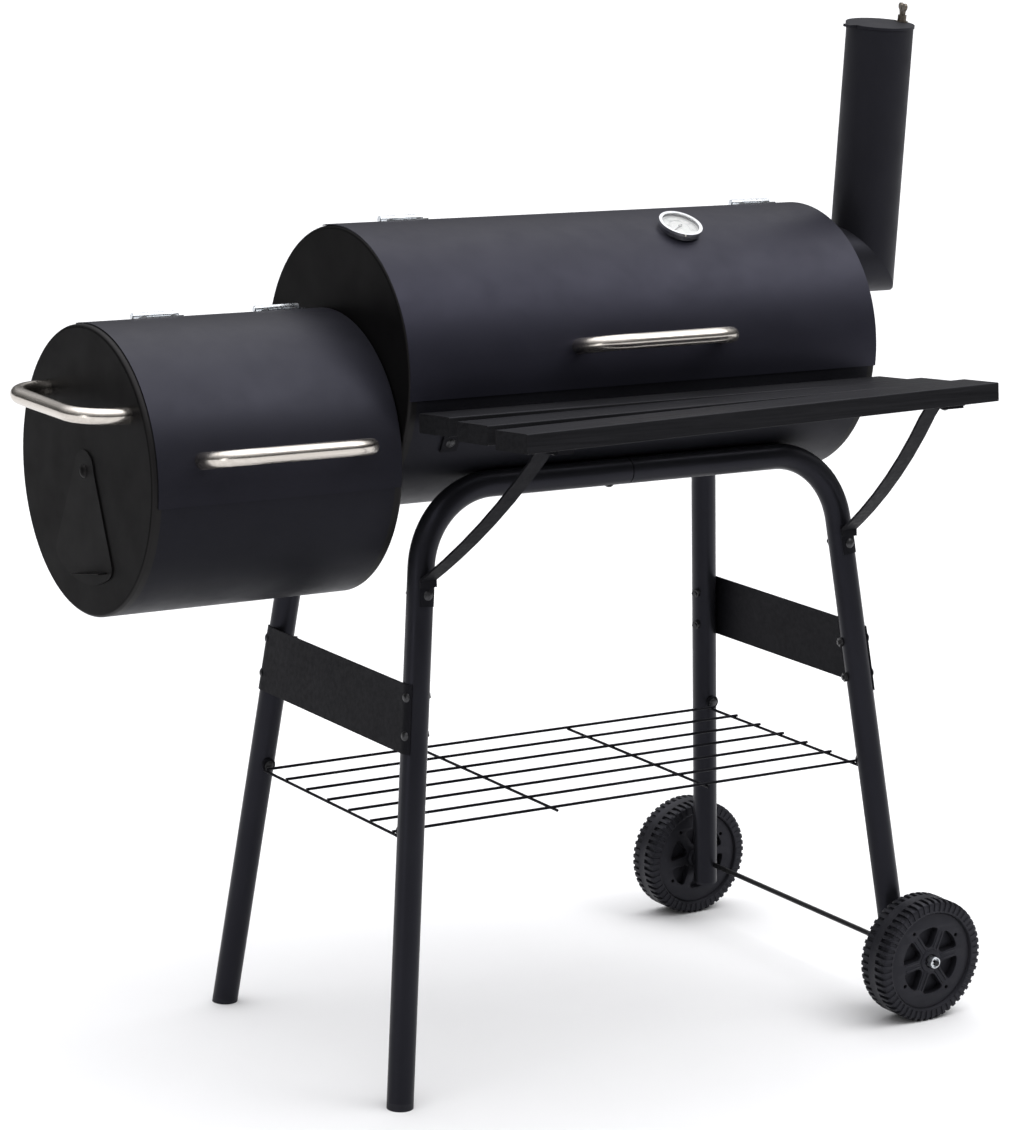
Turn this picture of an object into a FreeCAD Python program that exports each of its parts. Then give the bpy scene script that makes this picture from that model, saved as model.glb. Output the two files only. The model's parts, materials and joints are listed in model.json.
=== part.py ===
import FreeCAD, Part
import math
import os

# Offset barrel smoker on a tubular stand.  Millimetres, +X along the barrel towards the chimney
# and the wheels, -Y towards the cook and the front shelf, +Z up, floor at z = 0.
# While it is built, x = 0 is the seam between firebox and main chamber and y = 0 the main axis;
# the last step moves everything so that the origin is under the middle of the whole object.

V = FreeCAD.Vector

# ---------------------------------------------------------------- driving dimensions
# Barrels
barrel_radius = 149.6
sheet = 1.0
main_length = 604.0
main_axis_z = 755.0
firebox_length = 288.0
firebox_axis_z = 666.0
firebox_axis_y = 7.0
cap_band = 10.0
cap_corner = 4.0
cap_socket = 14.0
sheet_play = 0.1
bolt_tail = 1.5
seat_play = 0.2

# Lids: angles are measured from straight up towards the front
hinge_angle = -14.0
lid_front_angle = 95.0
lid_gap = 0.3
lid_lap = 5.0
main_lid_margin = 0.8
firebox_lid_margins = (6.0, 3.0)

# Hinges
hinge_length = 52.0
hinge_knuckle_radius = 3.8
hinge_pin_radius = 1.8
hinge_leaf_width = 15.0
hinge_leaf_sheet = 1.2
main_hinge_x = (98.0, 560.0)
firebox_hinge_x = (-191.0, -48.0)
running_play = 0.05

# Handles: one U-shaped tube, used three times
handle_radius = 8.5
handle_wall = 1.5
handle_span = 182.0
handle_reach = 49.0
handle_bend = 41.0
lid_handle_angle = 78.0
main_handle_x = 299.0
firebox_handle_x = -141.0
end_handle_y = 1.0
end_handle_height = 73.0

# Thermometer on the main lid
thermo_x = 391.0
thermo_angle = 25.0
thermo_radius = 24.0

# Chimney
stub_z = 838.0
chimney_radius = 38.2
chimney_wall = 1.2
chimney_x = 697.0
chimney_lean = 2.2
chimney_top_z = 1103.0
cap_pivot_offset = 31.0
cap_radius = 39.2
cap_sheet = 3.0
cap_rise = 2.0
cap_tilt = 6.0
cap_tilt_turn = 33.0
wing_turn = -12.0

# Stand
tube_radius = 14.3
tube_wall = 1.5
foot_y = 193.0
splay_slope = 0.1139
left_foot_x = -19.0
left_lean = 0.0897
right_foot_x = 654.9
right_lean = -0.1352
frame_bend = 89.0
frame_joint_x = 293.0
frame_seam = 1.2
spigot_length = 40.0
right_leg_end_z = 50.0
left_leg_end_z = 6.0
foot_plug_depth = 25.0

# Side plates
plate_low_z = 372.0
plate_high_z = 444.5
plate_sheet = 1.6
plate_wrap_angle = 42.0

# Wire shelf
shelf_wire_z = 280.5
wire_radius = 1.6
shelf_half_width = 136.5
shelf_cross_x = (1.1, 203.8, 405.0, 612.2)
shelf_wire_count = 7

# Front shelf
slat_left_x = 8.0
slat_length = 596.0
slat_width = 58.0
slat_pitch = 72.0
slat_thick = 20.0
slat_front_y = -360.0
rail_inset = 50.0
rail_rear_z = 713.5
rail_front_z = (721.0, 731.0)
rail_width = 20.0
rail_thick = 2.5
strut_thick = 2.5
tab_heights = {"left": 541.0, "right": 546.0}

# Axle and wheels
axle_x = 649.5
axle_z = 71.0
axle_radius = 3.0
wheel_radius = 71.0
wheel_inner_y = 205.0
wheel_outer_y = 248.0
hub_recess = 5.0

# Air damper on the firebox end
damper_reach = 116.0
damper_half_angle = 32.0
damper_sheet = 1.2
vent_radius = 11.0
vent_reach = 84.0
vent_angles = (-19.0, 0.0, 19.0)


# ---------------------------------------------------------------- helpers
def rad(degrees):
    return math.radians(degrees)


def barrel_point(r, angle, axis_y, axis_z, x):
    """Point at radius r and an angle from straight up towards the front."""
    return V(x, axis_y - r * math.sin(rad(angle)), axis_z + r * math.cos(rad(angle)))


def radial(angle):
    """Unit vector pointing out of a barrel at an angle from straight up towards the front."""
    return V(0, -math.sin(rad(angle)), math.cos(rad(angle)))


def ring_sector(r_in, r_out, a0, a1, x0, x1, axis_y, axis_z):
    """Part of a round sheet between two angles and two x positions."""
    mid = (a0 + a1) / 2.0
    outer = [barrel_point(r_out, a, axis_y, axis_z, x0) for a in (a0, mid, a1)]
    inner = [barrel_point(r_in, a, axis_y, axis_z, x0) for a in (a1, mid, a0)]
    edges = [
        Part.Arc(*outer).toShape(),
        Part.LineSegment(outer[2], inner[0]).toShape(),
        Part.Arc(*inner).toShape(),
        Part.LineSegment(inner[2], outer[0]).toShape(),
    ]
    return Part.Face(Part.Wire(edges)).extrude(V(x1 - x0, 0, 0))


def cylinder(radius, start, end):
    axis = end.sub(start)
    return Part.makeCylinder(radius, axis.Length, start, axis)


def unit(vector):
    return vector * (1.0 / vector.Length)


def rounded_path(points, bend):
    """Wire of straight runs joined by tangent arcs of one radius."""
    edges = []
    start = points[0]
    for before, corner, after in zip(points, points[1:], points[2:]):
        into = unit(corner.sub(before))
        out = unit(after.sub(corner))
        turn = math.acos(max(-1.0, min(1.0, into.dot(out))))
        trim = bend * math.tan(turn / 2.0)
        arc_start = corner.sub(into * trim)
        arc_end = corner.add(out * trim)
        middle = unit(out.sub(into))
        arc_mid = corner.add(middle * (bend / math.cos(turn / 2.0) - bend))
        edges.append(Part.LineSegment(start, arc_start).toShape())
        edges.append(Part.Arc(arc_start, arc_mid, arc_end).toShape())
        start = arc_end
    edges.append(Part.LineSegment(start, points[-1]).toShape())
    return Part.Wire(edges)


def rod_along(points, bend, radius):
    path = rounded_path(points, bend)
    tangent = points[1].sub(points[0])
    profile = Part.Wire([Part.Circle(points[0], tangent, radius).toShape()])
    return path.makePipeShell([profile], True, False)


def tube_along(points, bend, radius, wall):
    return rod_along(points, bend, radius).cut(rod_along(points, bend, radius - wall))


def hex_prism(across_flats, height, seat, direction):
    """Hexagonal nut or head standing on seat, growing along direction."""
    corner = across_flats / math.sqrt(3.0)
    ring = [V(corner * math.cos(rad(a)), corner * math.sin(rad(a)), 0) for a in range(0, 420, 60)]
    prism = Part.Face(Part.makePolygon(ring)).extrude(V(0, 0, height))
    prism.Placement = FreeCAD.Placement(seat, FreeCAD.Rotation(V(0, 0, 1), direction))
    return prism


def dome_head(radius, height, seat, direction):
    """Low domed screw head standing on seat, its crown pointing along direction."""
    ball = (radius * radius + height * height) / (2.0 * height)
    centre = V(0, 0, height - ball)
    cap = Part.makeSphere(ball, centre).common(
        Part.makeCylinder(radius + 1, height + 1, V(0, 0, 0)))
    cap.Placement = FreeCAD.Placement(seat, FreeCAD.Rotation(V(0, 0, 1), direction))
    return cap


def screw(seat, direction, radius, length, head_radius, head_height):
    """Domed screw whose head sits on seat; the shank runs along direction."""
    along = unit(direction)
    body = cylinder(radius, seat, seat.add(along * length))
    body = body.fuse(dome_head(head_radius, head_height, seat, along * -1.0))
    return body.removeSplitter()


def bolt(seat, direction, radius, grip, head_radius, head_height, nut_flats):
    """Domed bolt that clamps a thickness called grip between its head and its nut."""
    along = unit(direction)
    nut_height = radius * 1.6
    body = screw(seat, direction, radius, grip + nut_height + bolt_tail, head_radius, head_height)
    return body.fuse(hex_prism(nut_flats, nut_height, seat.add(along * grip), along)).removeSplitter()


def drill(shape, seat, direction, radius, length, play=0.1):
    """Cut a clearance hole through shape, centred on seat and running both ways."""
    along = unit(direction)
    return shape.cut(cylinder(radius + play, seat.sub(along * length), seat.add(along * length)))


parts = {}
group = Part.makeCompound


# ---------------------------------------------------------------- stand geometry
def leg_y(z, side):
    """Centre line of a leg frame across the stand; side is -1 in front and 1 behind."""
    return side * (foot_y - splay_slope * z)


def leg_x(z, end):
    if end == "left":
        return left_foot_x + left_lean * z
    return right_foot_x + right_lean * z


def leg_point(z, end, side):
    return V(leg_x(z, end), leg_y(z, side), z)


def square_to_leg(z, end, side, toward):
    """Unit vector square to a leg, as near as can be to a given direction."""
    axis = unit(leg_point(z + 100, end, side).sub(leg_point(z, end, side)))
    return unit(toward.sub(axis * axis.dot(toward)))


def frame_run_height():
    """Height where a frame's top run lies against the underside of the main barrel."""
    reach = barrel_radius + tube_radius + seat_play
    a = 1.0 + splay_slope ** 2
    b = -2.0 * (main_axis_z + splay_slope * foot_y)
    c = main_axis_z ** 2 + foot_y ** 2 - reach ** 2
    return (-b - math.sqrt(b * b - 4.0 * a * c)) / (2.0 * a)


run_z = frame_run_height()

for side, row in ((-1, "front"), (1, "rear")):
    joint = V(frame_joint_x, leg_y(run_z, side), run_z)
    left_corner = leg_point(run_z, "left", side)
    right_corner = leg_point(run_z, "right", side)
    left_foot = leg_point(left_leg_end_z, "left", side)
    right_foot = leg_point(right_leg_end_z, "right", side)
    spigot_end = joint.sub(V(spigot_length, 0, 0))
    left_tube = tube_along([left_foot, left_corner, joint], frame_bend, tube_radius, tube_wall)
    seam = joint.add(V(frame_seam, 0, 0))
    right_tube = tube_along([right_foot, right_corner, seam], frame_bend, tube_radius, tube_wall)
    spigot_radius = tube_radius - tube_wall - running_play
    spigot = cylinder(spigot_radius, spigot_end, joint.add(V(6, 0, 0)))
    spigot_bore = cylinder(spigot_radius - tube_wall, spigot_end, joint.add(V(6, 0, 0)))
    collar = cylinder(tube_radius - tube_wall / 2.0, seam, joint.add(V(6, 0, 0)))
    right_tube = right_tube.fuse(collar.fuse(spigot).cut(spigot_bore)).removeSplitter()
    parts[row + "_left_leg"] = left_tube
    parts[row + "_right_leg"] = right_tube


# ---------------------------------------------------------------- barrel shells and end caps
def end_cap(x, inward, axis_y, axis_z):
    """Pressed end cap: flat disc, rounded corner, visible band, then a socket inside the sheet."""
    r = barrel_radius
    socket_r = r - sheet - sheet_play
    band = [V(0, 0, 0), V(0, r - cap_corner, 0)]
    k = math.sqrt(0.5)
    outer_mid = V(cap_corner * (1 - k), r - cap_corner * (1 - k), 0)
    small = cap_corner - sheet
    inner_mid = V(cap_corner - small * k, r - cap_corner + small * k, 0)
    depth = cap_band + cap_socket
    edges = [
        Part.LineSegment(band[0], band[1]).toShape(),
        Part.Arc(band[1], outer_mid, V(cap_corner, r, 0)).toShape(),
        Part.makePolygon([
            V(cap_corner, r, 0), V(cap_band, r, 0), V(cap_band, socket_r, 0), V(depth, socket_r, 0),
            V(depth, socket_r - sheet, 0), V(cap_band - sheet, socket_r - sheet, 0),
            V(cap_band - sheet, r - sheet, 0), V(cap_corner, r - sheet, 0)]),
        Part.Arc(V(cap_corner, r - sheet, 0), inner_mid, V(sheet, r - cap_corner, 0)).toShape(),
        Part.makePolygon([V(sheet, r - cap_corner, 0), V(sheet, 0, 0), V(0, 0, 0)]),
    ]
    loose = [edge for shape in edges for edge in shape.Edges]
    profile = Part.Face(Part.Wire(Part.__sortEdges__(loose)))
    cap = profile.revolve(V(0, 0, 0), V(1, 0, 0), 360)
    if inward < 0:
        cap = cap.mirror(V(0, 0, 0), V(1, 0, 0))
    cap.translate(V(x, axis_y, axis_z))
    return cap


def body_shell(x0, x1, axis_y, axis_z):
    """Lower and rear part of a barrel; it stops under the lid at the front and at the hinge."""
    start = lid_front_angle - lid_lap
    end = 360.0 + hinge_angle + 1.0
    return ring_sector(barrel_radius - sheet, barrel_radius, start, end, x0, x1, axis_y, axis_z)


def lid_shell(x0, x1, axis_y, axis_z):
    inner = barrel_radius + lid_gap
    start = hinge_angle + 0.8
    return ring_sector(inner, inner + sheet, start, lid_front_angle, x0, x1, axis_y, axis_z)


lid_outer = barrel_radius + lid_gap + sheet
main_shell = body_shell(cap_band, main_length - cap_band, 0, main_axis_z)
main_left_cap = end_cap(0, 1, 0, main_axis_z)
main_right_cap = end_cap(main_length, -1, 0, main_axis_z)
main_lid = lid_shell(main_lid_margin, main_length - main_lid_margin, 0, main_axis_z)

firebox_shell = body_shell(-firebox_length + cap_band, -cap_band, firebox_axis_y, firebox_axis_z)
firebox_left_cap = end_cap(-firebox_length, 1, firebox_axis_y, firebox_axis_z)
firebox_right_cap = end_cap(0, -1, firebox_axis_y, firebox_axis_z)
firebox_lid = lid_shell(-firebox_length + firebox_lid_margins[0], -firebox_lid_margins[1],
                        firebox_axis_y, firebox_axis_z)

# Smoke passage through both caps where the two chambers meet, with four bolts around it
passage_z = 702.0
passage_radius = 42.0
passage_bolt_circle = 58.0
passage_tool = cylinder(passage_radius, V(-5, firebox_axis_y / 2, passage_z),
                        V(5, firebox_axis_y / 2, passage_z))
main_left_cap = main_left_cap.cut(passage_tool)
firebox_right_cap = firebox_right_cap.cut(passage_tool)
chamber_bolts = []
for turn in (45, 135, 225, 315):
    seat = V(sheet, firebox_axis_y / 2 + passage_bolt_circle * math.cos(rad(turn)),
             passage_z + passage_bolt_circle * math.sin(rad(turn)))
    chamber_bolts.append(bolt(seat, V(-1, 0, 0), 3.0, 2 * sheet, 6.0, 3.2, 10.0))
    main_left_cap = drill(main_left_cap, seat, V(1, 0, 0), 3.0, 20)
    firebox_right_cap = drill(firebox_right_cap, seat, V(1, 0, 0), 3.0, 20)

# Stand frames bolted to the underside of the main barrel
frame_bolts = []
for side, row in ((-1, "front"), (1, "rear")):
    outward = unit(V(0, leg_y(run_z, side), run_z - main_axis_z))
    for x, half in ((150.0, "left"), (455.0, "right")):
        seat = V(x, 0, main_axis_z).add(outward * (barrel_radius - sheet - seat_play))
        name = row + "_" + half + "_leg"
        frame_bolts.append(screw(seat, outward, 3.0, 12.0, 6.0, 3.2))
        main_shell = drill(main_shell, seat, outward, 3.0, 14)
        parts[name] = drill(parts[name], seat, outward, 3.0, 14)
parts["barrel_bolts"] = group(chamber_bolts + frame_bolts)


# ---------------------------------------------------------------- hinges
def hinge_centre(axis_y, axis_z, x):
    reach = barrel_radius + 0.4 + hinge_knuckle_radius
    return barrel_point(reach, hinge_angle, axis_y, axis_z, x)


def hinge_set(x, axis_y, axis_z):
    """Body leaf, lid leaf and pin of one butt hinge centred on x."""
    half = hinge_length / 2.0
    third = hinge_length / 3.0
    swing = math.degrees(hinge_leaf_width / barrel_radius)
    body_leaf = ring_sector(barrel_radius, barrel_radius + hinge_leaf_sheet,
                            hinge_angle - swing, hinge_angle - 0.3, x - half, x + half,
                            axis_y, axis_z)
    lid_leaf = ring_sector(lid_outer, lid_outer + hinge_leaf_sheet,
                           hinge_angle + 0.8, hinge_angle + swing, x - half, x + half,
                           axis_y, axis_z)
    centre = hinge_centre(axis_y, axis_z, x)
    joint_gap = 0.2
    knuckles = []
    for index in range(3):
        start = x - half + index * third + joint_gap
        end = x - half + (index + 1) * third - joint_gap
        knuckles.append(cylinder(hinge_knuckle_radius, V(start, centre.y, centre.z),
                                 V(end, centre.y, centre.z)))
    clear = hinge_knuckle_radius + 0.3
    lid_window = cylinder(clear, V(x - third / 2, centre.y, centre.z),
                          V(x + third / 2, centre.y, centre.z))
    outer_windows = [cylinder(clear, V(a, centre.y, centre.z), V(b, centre.y, centre.z))
                     for a, b in ((x - half, x - third / 2), (x + third / 2, x + half))]
    body_leaf = body_leaf.cut(lid_window).fuse([knuckles[0], knuckles[2]])
    for window in outer_windows:
        lid_leaf = lid_leaf.cut(window)
    lid_leaf = lid_leaf.fuse(knuckles[1])
    head = 0.8
    bore = cylinder(hinge_pin_radius + running_play, V(x - half - 5, centre.y, centre.z),
                    V(x + half + 5, centre.y, centre.z))
    pin = cylinder(hinge_pin_radius, V(x - half - head, centre.y, centre.z),
                   V(x + half + head, centre.y, centre.z))
    for end in (-half - head, half):
        pin = pin.fuse(cylinder(hinge_pin_radius + 1.0, V(x + end, centre.y, centre.z),
                                V(x + end + head, centre.y, centre.z)))
    return (body_leaf.cut(bore).removeSplitter(), lid_leaf.cut(bore).removeSplitter(),
            pin.removeSplitter())


def leaf_rivets(x, angle, seat_radius, axis_y, axis_z, sheets):
    """Two rivets through a hinge leaf and the sheets under it."""
    made = []
    for offset in (-hinge_length * 0.33, hinge_length * 0.33):
        seat = barrel_point(seat_radius, angle, axis_y, axis_z, x + offset)
        out = radial(angle)
        rivet = cylinder(1.6, seat.sub(out * (sheets + 0.2)), seat)
        rivet = rivet.fuse(dome_head(3.4, 1.2, seat, out))
        rivet = rivet.fuse(cylinder(2.6, seat.sub(out * (sheets + 1.0)), seat.sub(out * sheets)))
        made.append(rivet.removeSplitter())
    return made


body_leaves, pins, body_rivets = [], [], []
lid_leaves = {"main": [], "firebox": []}
lid_rivets = {"main": [], "firebox": []}
leaf_mid = math.degrees(hinge_leaf_width * 0.62 / barrel_radius)
for name, positions, axis_y, axis_z in (("main", main_hinge_x, 0.0, main_axis_z),
                                        ("firebox", firebox_hinge_x, firebox_axis_y,
                                         firebox_axis_z)):
    for x in positions:
        body_leaf, lid_leaf, pin = hinge_set(x, axis_y, axis_z)
        centre = hinge_centre(axis_y, axis_z, x)
        window = cylinder(hinge_knuckle_radius + 0.3, V(x - 27, centre.y, centre.z),
                          V(x + 27, centre.y, centre.z))
        low = leaf_rivets(x, hinge_angle - leaf_mid, barrel_radius + hinge_leaf_sheet,
                          axis_y, axis_z, sheet + hinge_leaf_sheet)
        high = leaf_rivets(x, hinge_angle + leaf_mid, lid_outer + hinge_leaf_sheet,
                           axis_y, axis_z, sheet + hinge_leaf_sheet)
        for rivet in low:
            body_leaf = body_leaf.cut(rivet)
            if name == "main":
                main_shell = main_shell.cut(rivet)
            else:
                firebox_shell = firebox_shell.cut(rivet)
        for rivet in high:
            lid_leaf = lid_leaf.cut(rivet)
            if name == "main":
                main_lid = main_lid.cut(rivet)
            else:
                firebox_lid = firebox_lid.cut(rivet)
        if name == "main":
            main_lid = main_lid.cut(window)
        else:
            firebox_lid = firebox_lid.cut(window)
        body_leaves.append(body_leaf)
        pins.append(pin)
        body_rivets += low
        lid_leaves[name].append(lid_leaf)
        lid_rivets[name] += high
parts["hinge_body_leaves"] = group(body_leaves)
parts["hinge_pins_and_rivets"] = group(pins + body_rivets)
for name in ("main", "firebox"):
    parts[name + "_hinge_lid_leaves"] = group(lid_leaves[name])


# ---------------------------------------------------------------- handles
def handle(feet, outward, reach):
    """U-shaped tube standing on two feet, with a threaded plug closing each foot."""
    first, second = feet
    lift = outward * reach
    points = [first, first.add(lift), second.add(lift), second]
    tube = tube_along(points, handle_bend, handle_radius, handle_wall)
    plug_radius = handle_radius - handle_wall
    plug_depth = 7.0
    for foot in feet:
        tube = tube.fuse(cylinder(plug_radius, foot, foot.add(outward * plug_depth)))
    for foot in feet:
        tube = tube.cut(cylinder(2.5, foot, foot.add(outward * (plug_depth + 1.0))))
    return tube.removeSplitter()


def lid_handle(centre_x, lid, axis_y, axis_z):
    """Handle on a curved lid, its two screws from inside, and the drilled lid."""
    out = radial(lid_handle_angle)
    sunk = 0.6
    feet = [barrel_point(lid_outer - sunk, lid_handle_angle, axis_y, axis_z, centre_x + side)
            for side in (-handle_span / 2.0, handle_span / 2.0)]
    made = handle(feet, out, handle_reach + sunk)
    seat_form = cylinder(lid_outer + 0.05, V(centre_x - 150, axis_y, axis_z),
                         V(centre_x + 150, axis_y, axis_z))
    made = made.cut(seat_form)
    screws = []
    for foot in feet:
        seat = foot.sub(out * (sheet - sunk))
        screws.append(screw(seat, out, 2.5, 8.0, 5.0, 2.4))
        lid = drill(lid, seat, out, 2.5, 8)
        lid = lid.cut(screws[-1])
    return made, screws, lid


parts["main_lid_handle"], main_handle_screws, main_lid = lid_handle(
    main_handle_x, main_lid, 0, main_axis_z)
parts["firebox_lid_handle"], firebox_handle_screws, firebox_lid = lid_handle(
    firebox_handle_x, firebox_lid, firebox_axis_y, firebox_axis_z)
parts["main_lid_rivets_and_screws"] = group(lid_rivets["main"] + main_handle_screws)
parts["firebox_lid_rivets_and_screws"] = group(lid_rivets["firebox"] + firebox_handle_screws)

end_handle_z = firebox_axis_z + end_handle_height
end_feet = [V(-firebox_length, end_handle_y + side, end_handle_z)
            for side in (-handle_span / 2.0, handle_span / 2.0)]
parts["end_handle"] = handle(end_feet, V(-1, 0, 0), handle_reach)
end_screws = []
for foot in end_feet:
    seat = foot.add(V(sheet, 0, 0))
    end_screws.append(screw(seat, V(-1, 0, 0), 2.5, 10.0, 5.0, 2.4))
    firebox_left_cap = drill(firebox_left_cap, seat, V(1, 0, 0), 2.5, 8)


# ---------------------------------------------------------------- thermometer
thermo_out = radial(thermo_angle)
thermo_seat = barrel_point(lid_outer, thermo_angle, 0, main_axis_z, thermo_x)


def on_thermo(height):
    return thermo_seat.add(thermo_out * height)


def thermo_disc(radius, low, high):
    return cylinder(radius, on_thermo(low), on_thermo(high))


case = thermo_disc(thermo_radius - 0.6, 0.1, 7.0).cut(thermo_disc(thermo_radius - 1.8, 1.4, 8.0))
case = case.fuse(thermo_disc(7.0, -0.2, 0.6)).fuse(thermo_disc(4.0, -48.0, 0.6))
case = case.cut(cylinder(lid_outer, V(thermo_x - 40, 0, main_axis_z),
                         V(thermo_x + 40, 0, main_axis_z)).cut(thermo_disc(4.0, -60.0, 1.0)))
parts["thermometer_case"] = case.removeSplitter()
bezel = thermo_disc(thermo_radius + 0.6, 5.2, 8.4).cut(thermo_disc(thermo_radius - 0.55, 5.0, 7.05))
bezel = bezel.cut(thermo_disc(thermo_radius - 3.0, 6.0, 9.0))
parts["thermometer_bezel"] = bezel.removeSplitter()
parts["thermometer_dial"] = thermo_disc(thermo_radius - 1.9, 2.4, 2.9).fuse(
    thermo_disc(0.8, 2.9, 4.6)).removeSplitter()
parts["thermometer_glass"] = thermo_disc(thermo_radius - 1.9, 5.6, 6.9)
needle_across = V(1, 0, 0)
needle_up = thermo_out.cross(needle_across)
needle_rest = 215.0


def needle_point(length, width, height):
    turn = rad(needle_rest)
    along = needle_across * math.cos(turn) + needle_up * math.sin(turn)
    cross = needle_up * math.cos(turn) - needle_across * math.sin(turn)
    return on_thermo(height).add(along * length).add(cross * width)


needle_outline = Part.makePolygon([
    needle_point(-5.0, -0.9, 3.6), needle_point(17.0, -0.25, 3.6),
    needle_point(17.0, 0.25, 3.6), needle_point(-5.0, 0.9, 3.6), needle_point(-5.0, -0.9, 3.6)])
needle = Part.Face(needle_outline).extrude(thermo_out * 0.4).fuse(thermo_disc(1.8, 3.5, 4.3))
parts["thermometer_needle"] = needle.cut(thermo_disc(0.8 + running_play, 3.0, 5.0))
thermo_nut = hex_prism(14.0, 4.0, on_thermo(-sheet - 4.3), thermo_out)
parts["thermometer_nut"] = thermo_nut.cut(thermo_disc(4.0, -20.0, 5.0))
main_lid = main_lid.cut(thermo_disc(4.2, -20.0, 20.0))


# ---------------------------------------------------------------- chimney
chimney_corner = V(chimney_x, 0, stub_z)
chimney_up = V(math.sin(rad(chimney_lean)), 0, math.cos(rad(chimney_lean)))
mitre = unit(V(1, 0, 0).add(chimney_up))
chimney_length = (chimney_top_z - stub_z) / chimney_up.z


def bent_pipe(radius, overrun):
    """Solid stub and upright meeting on a mitre."""
    half = Part.makeBox(1000, 1000, 1000, V(-500, -500, 0))
    half.Placement = FreeCAD.Placement(chimney_corner, FreeCAD.Rotation(V(0, 0, 1), mitre))
    stub_start = V(main_length - 12.0 - overrun, 0, stub_z)
    stub = cylinder(radius, stub_start, chimney_corner.add(V(80, 0, 0))).cut(half)
    top = chimney_corner.add(chimney_up * (chimney_length + overrun + 10.0))
    upright = cylinder(radius, chimney_corner.sub(chimney_up * 80), top).common(half)
    return stub.fuse(upright)


chimney = bent_pipe(chimney_radius, 0).cut(bent_pipe(chimney_radius - chimney_wall, 5))
chimney_top = chimney_corner.add(chimney_up * chimney_length)

# The mouth is cut on a slant so that rain runs off the cap
slant = V(-math.sin(rad(cap_tilt_turn)), -math.cos(rad(cap_tilt_turn)), 0)
cap_up = unit(chimney_up * math.cos(rad(cap_tilt)) + slant * math.sin(rad(cap_tilt)))
cap_across = unit(V(1, 0, 0).sub(cap_up * cap_up.x))
cap_depth = cap_up.cross(cap_across)
cap_frame = FreeCAD.Placement(chimney_top, FreeCAD.Rotation(cap_across, cap_depth, cap_up, "ZXY"))
above_mouth = Part.makeBox(200, 200, 100, V(-100, -100, 0))
above_mouth.Placement = cap_frame
chimney = chimney.cut(above_mouth)


def at_chimney(offset, height):
    """Point above the chimney mouth, offset along the cap's diameter."""
    return chimney_top.add(cap_across * offset).add(cap_up * height)


bracket = cylinder(chimney_radius, at_chimney(0, -10.0), at_chimney(0, -7.6))
bracket = bracket.common(bent_pipe(chimney_radius - chimney_wall - running_play, 0))
bracket_keep = Part.makeBox(60, 16, 60, V(cap_pivot_offset - 7.0, -8, -40))
bracket_keep.Placement = cap_frame.multiply(bracket_keep.Placement)
bracket = bracket.common(bracket_keep)
cap_bolt_radius = 2.5
cap_lift = 0.3
bolt_head = hex_prism(8.0, 3.5, at_chimney(cap_pivot_offset, -13.5), cap_up)
cap_bolt = cylinder(cap_bolt_radius, at_chimney(cap_pivot_offset, -12),
                    at_chimney(cap_pivot_offset, 16.0)).fuse(bolt_head)
bracket = bracket.cut(cap_bolt)
wing_hub_low = cap_lift + cap_sheet + 1.4
wing_hub = cylinder(5.0, at_chimney(cap_pivot_offset, wing_hub_low),
                    at_chimney(cap_pivot_offset, wing_hub_low + 7.0))
wing_nut = wing_hub
wing_span = V(-math.sin(rad(wing_turn)), math.cos(rad(wing_turn)), 0)
wing_span = unit(wing_span.sub(cap_up * cap_up.dot(wing_span)))
wing_normal = wing_span.cross(cap_up)
wing_thick = 2.6
ear_radius = 4.0
ear_spread = 4.6
ear_rise = 16.5
neck = at_chimney(cap_pivot_offset, wing_hub_low + 4.0)
for side in (-1, 1):
    ear = at_chimney(cap_pivot_offset, wing_hub_low + ear_rise).add(wing_span * (side * ear_spread))
    blade_line = unit(ear.sub(neck))
    blade_side = blade_line.cross(wing_normal)
    blade = [neck.add(blade_side * 3.6), neck.sub(blade_side * 3.6),
             ear.sub(blade_side * 2.4), ear.add(blade_side * 2.4)]
    blade = Part.Face(Part.makePolygon(blade + [blade[0]])).extrude(wing_normal * wing_thick)
    blade.translate(wing_normal * (-wing_thick / 2.0))
    disc = cylinder(ear_radius, ear.sub(wing_normal * (wing_thick / 2.0 + 0.2)),
                    ear.add(wing_normal * (wing_thick / 2.0 + 0.2)))
    wing_nut = wing_nut.fuse(blade).fuse(disc)
parts["chimney_cap_bracket"] = bracket
washer = cylinder(7.0, at_chimney(cap_pivot_offset, cap_lift + cap_sheet + 0.1),
                  at_chimney(cap_pivot_offset, wing_hub_low))
parts["chimney_cap_bolt_and_wing_nut"] = group([
    cap_bolt.removeSplitter(), washer.cut(cap_bolt), wing_nut.cut(cap_bolt).removeSplitter()])
cap_disc = cylinder(cap_radius, at_chimney(0, cap_lift), at_chimney(0, cap_lift + cap_sheet))
cap_crown = dome_head(cap_radius, cap_rise, at_chimney(0, cap_lift + cap_sheet), cap_up)
cap_crown = cap_crown.cut(cylinder(9.0, at_chimney(cap_pivot_offset, cap_lift + cap_sheet),
                                   at_chimney(cap_pivot_offset, cap_lift + cap_sheet + 5.0)))
cap_disc = cap_disc.fuse(cap_crown)
cap_tab = Part.makeBox(14, 12, cap_sheet, V(-cap_radius - 9.0, -6, cap_lift))
cap_tab.Placement = cap_frame.multiply(cap_tab.Placement)
chimney_cap = cap_disc.fuse(cap_tab).removeSplitter()
cap_hole = cylinder(cap_bolt_radius + running_play, at_chimney(cap_pivot_offset, -5),
                    at_chimney(cap_pivot_offset, 10))
parts["chimney_cap"] = chimney_cap.cut(cap_hole)
parts["chimney"] = chimney

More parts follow.
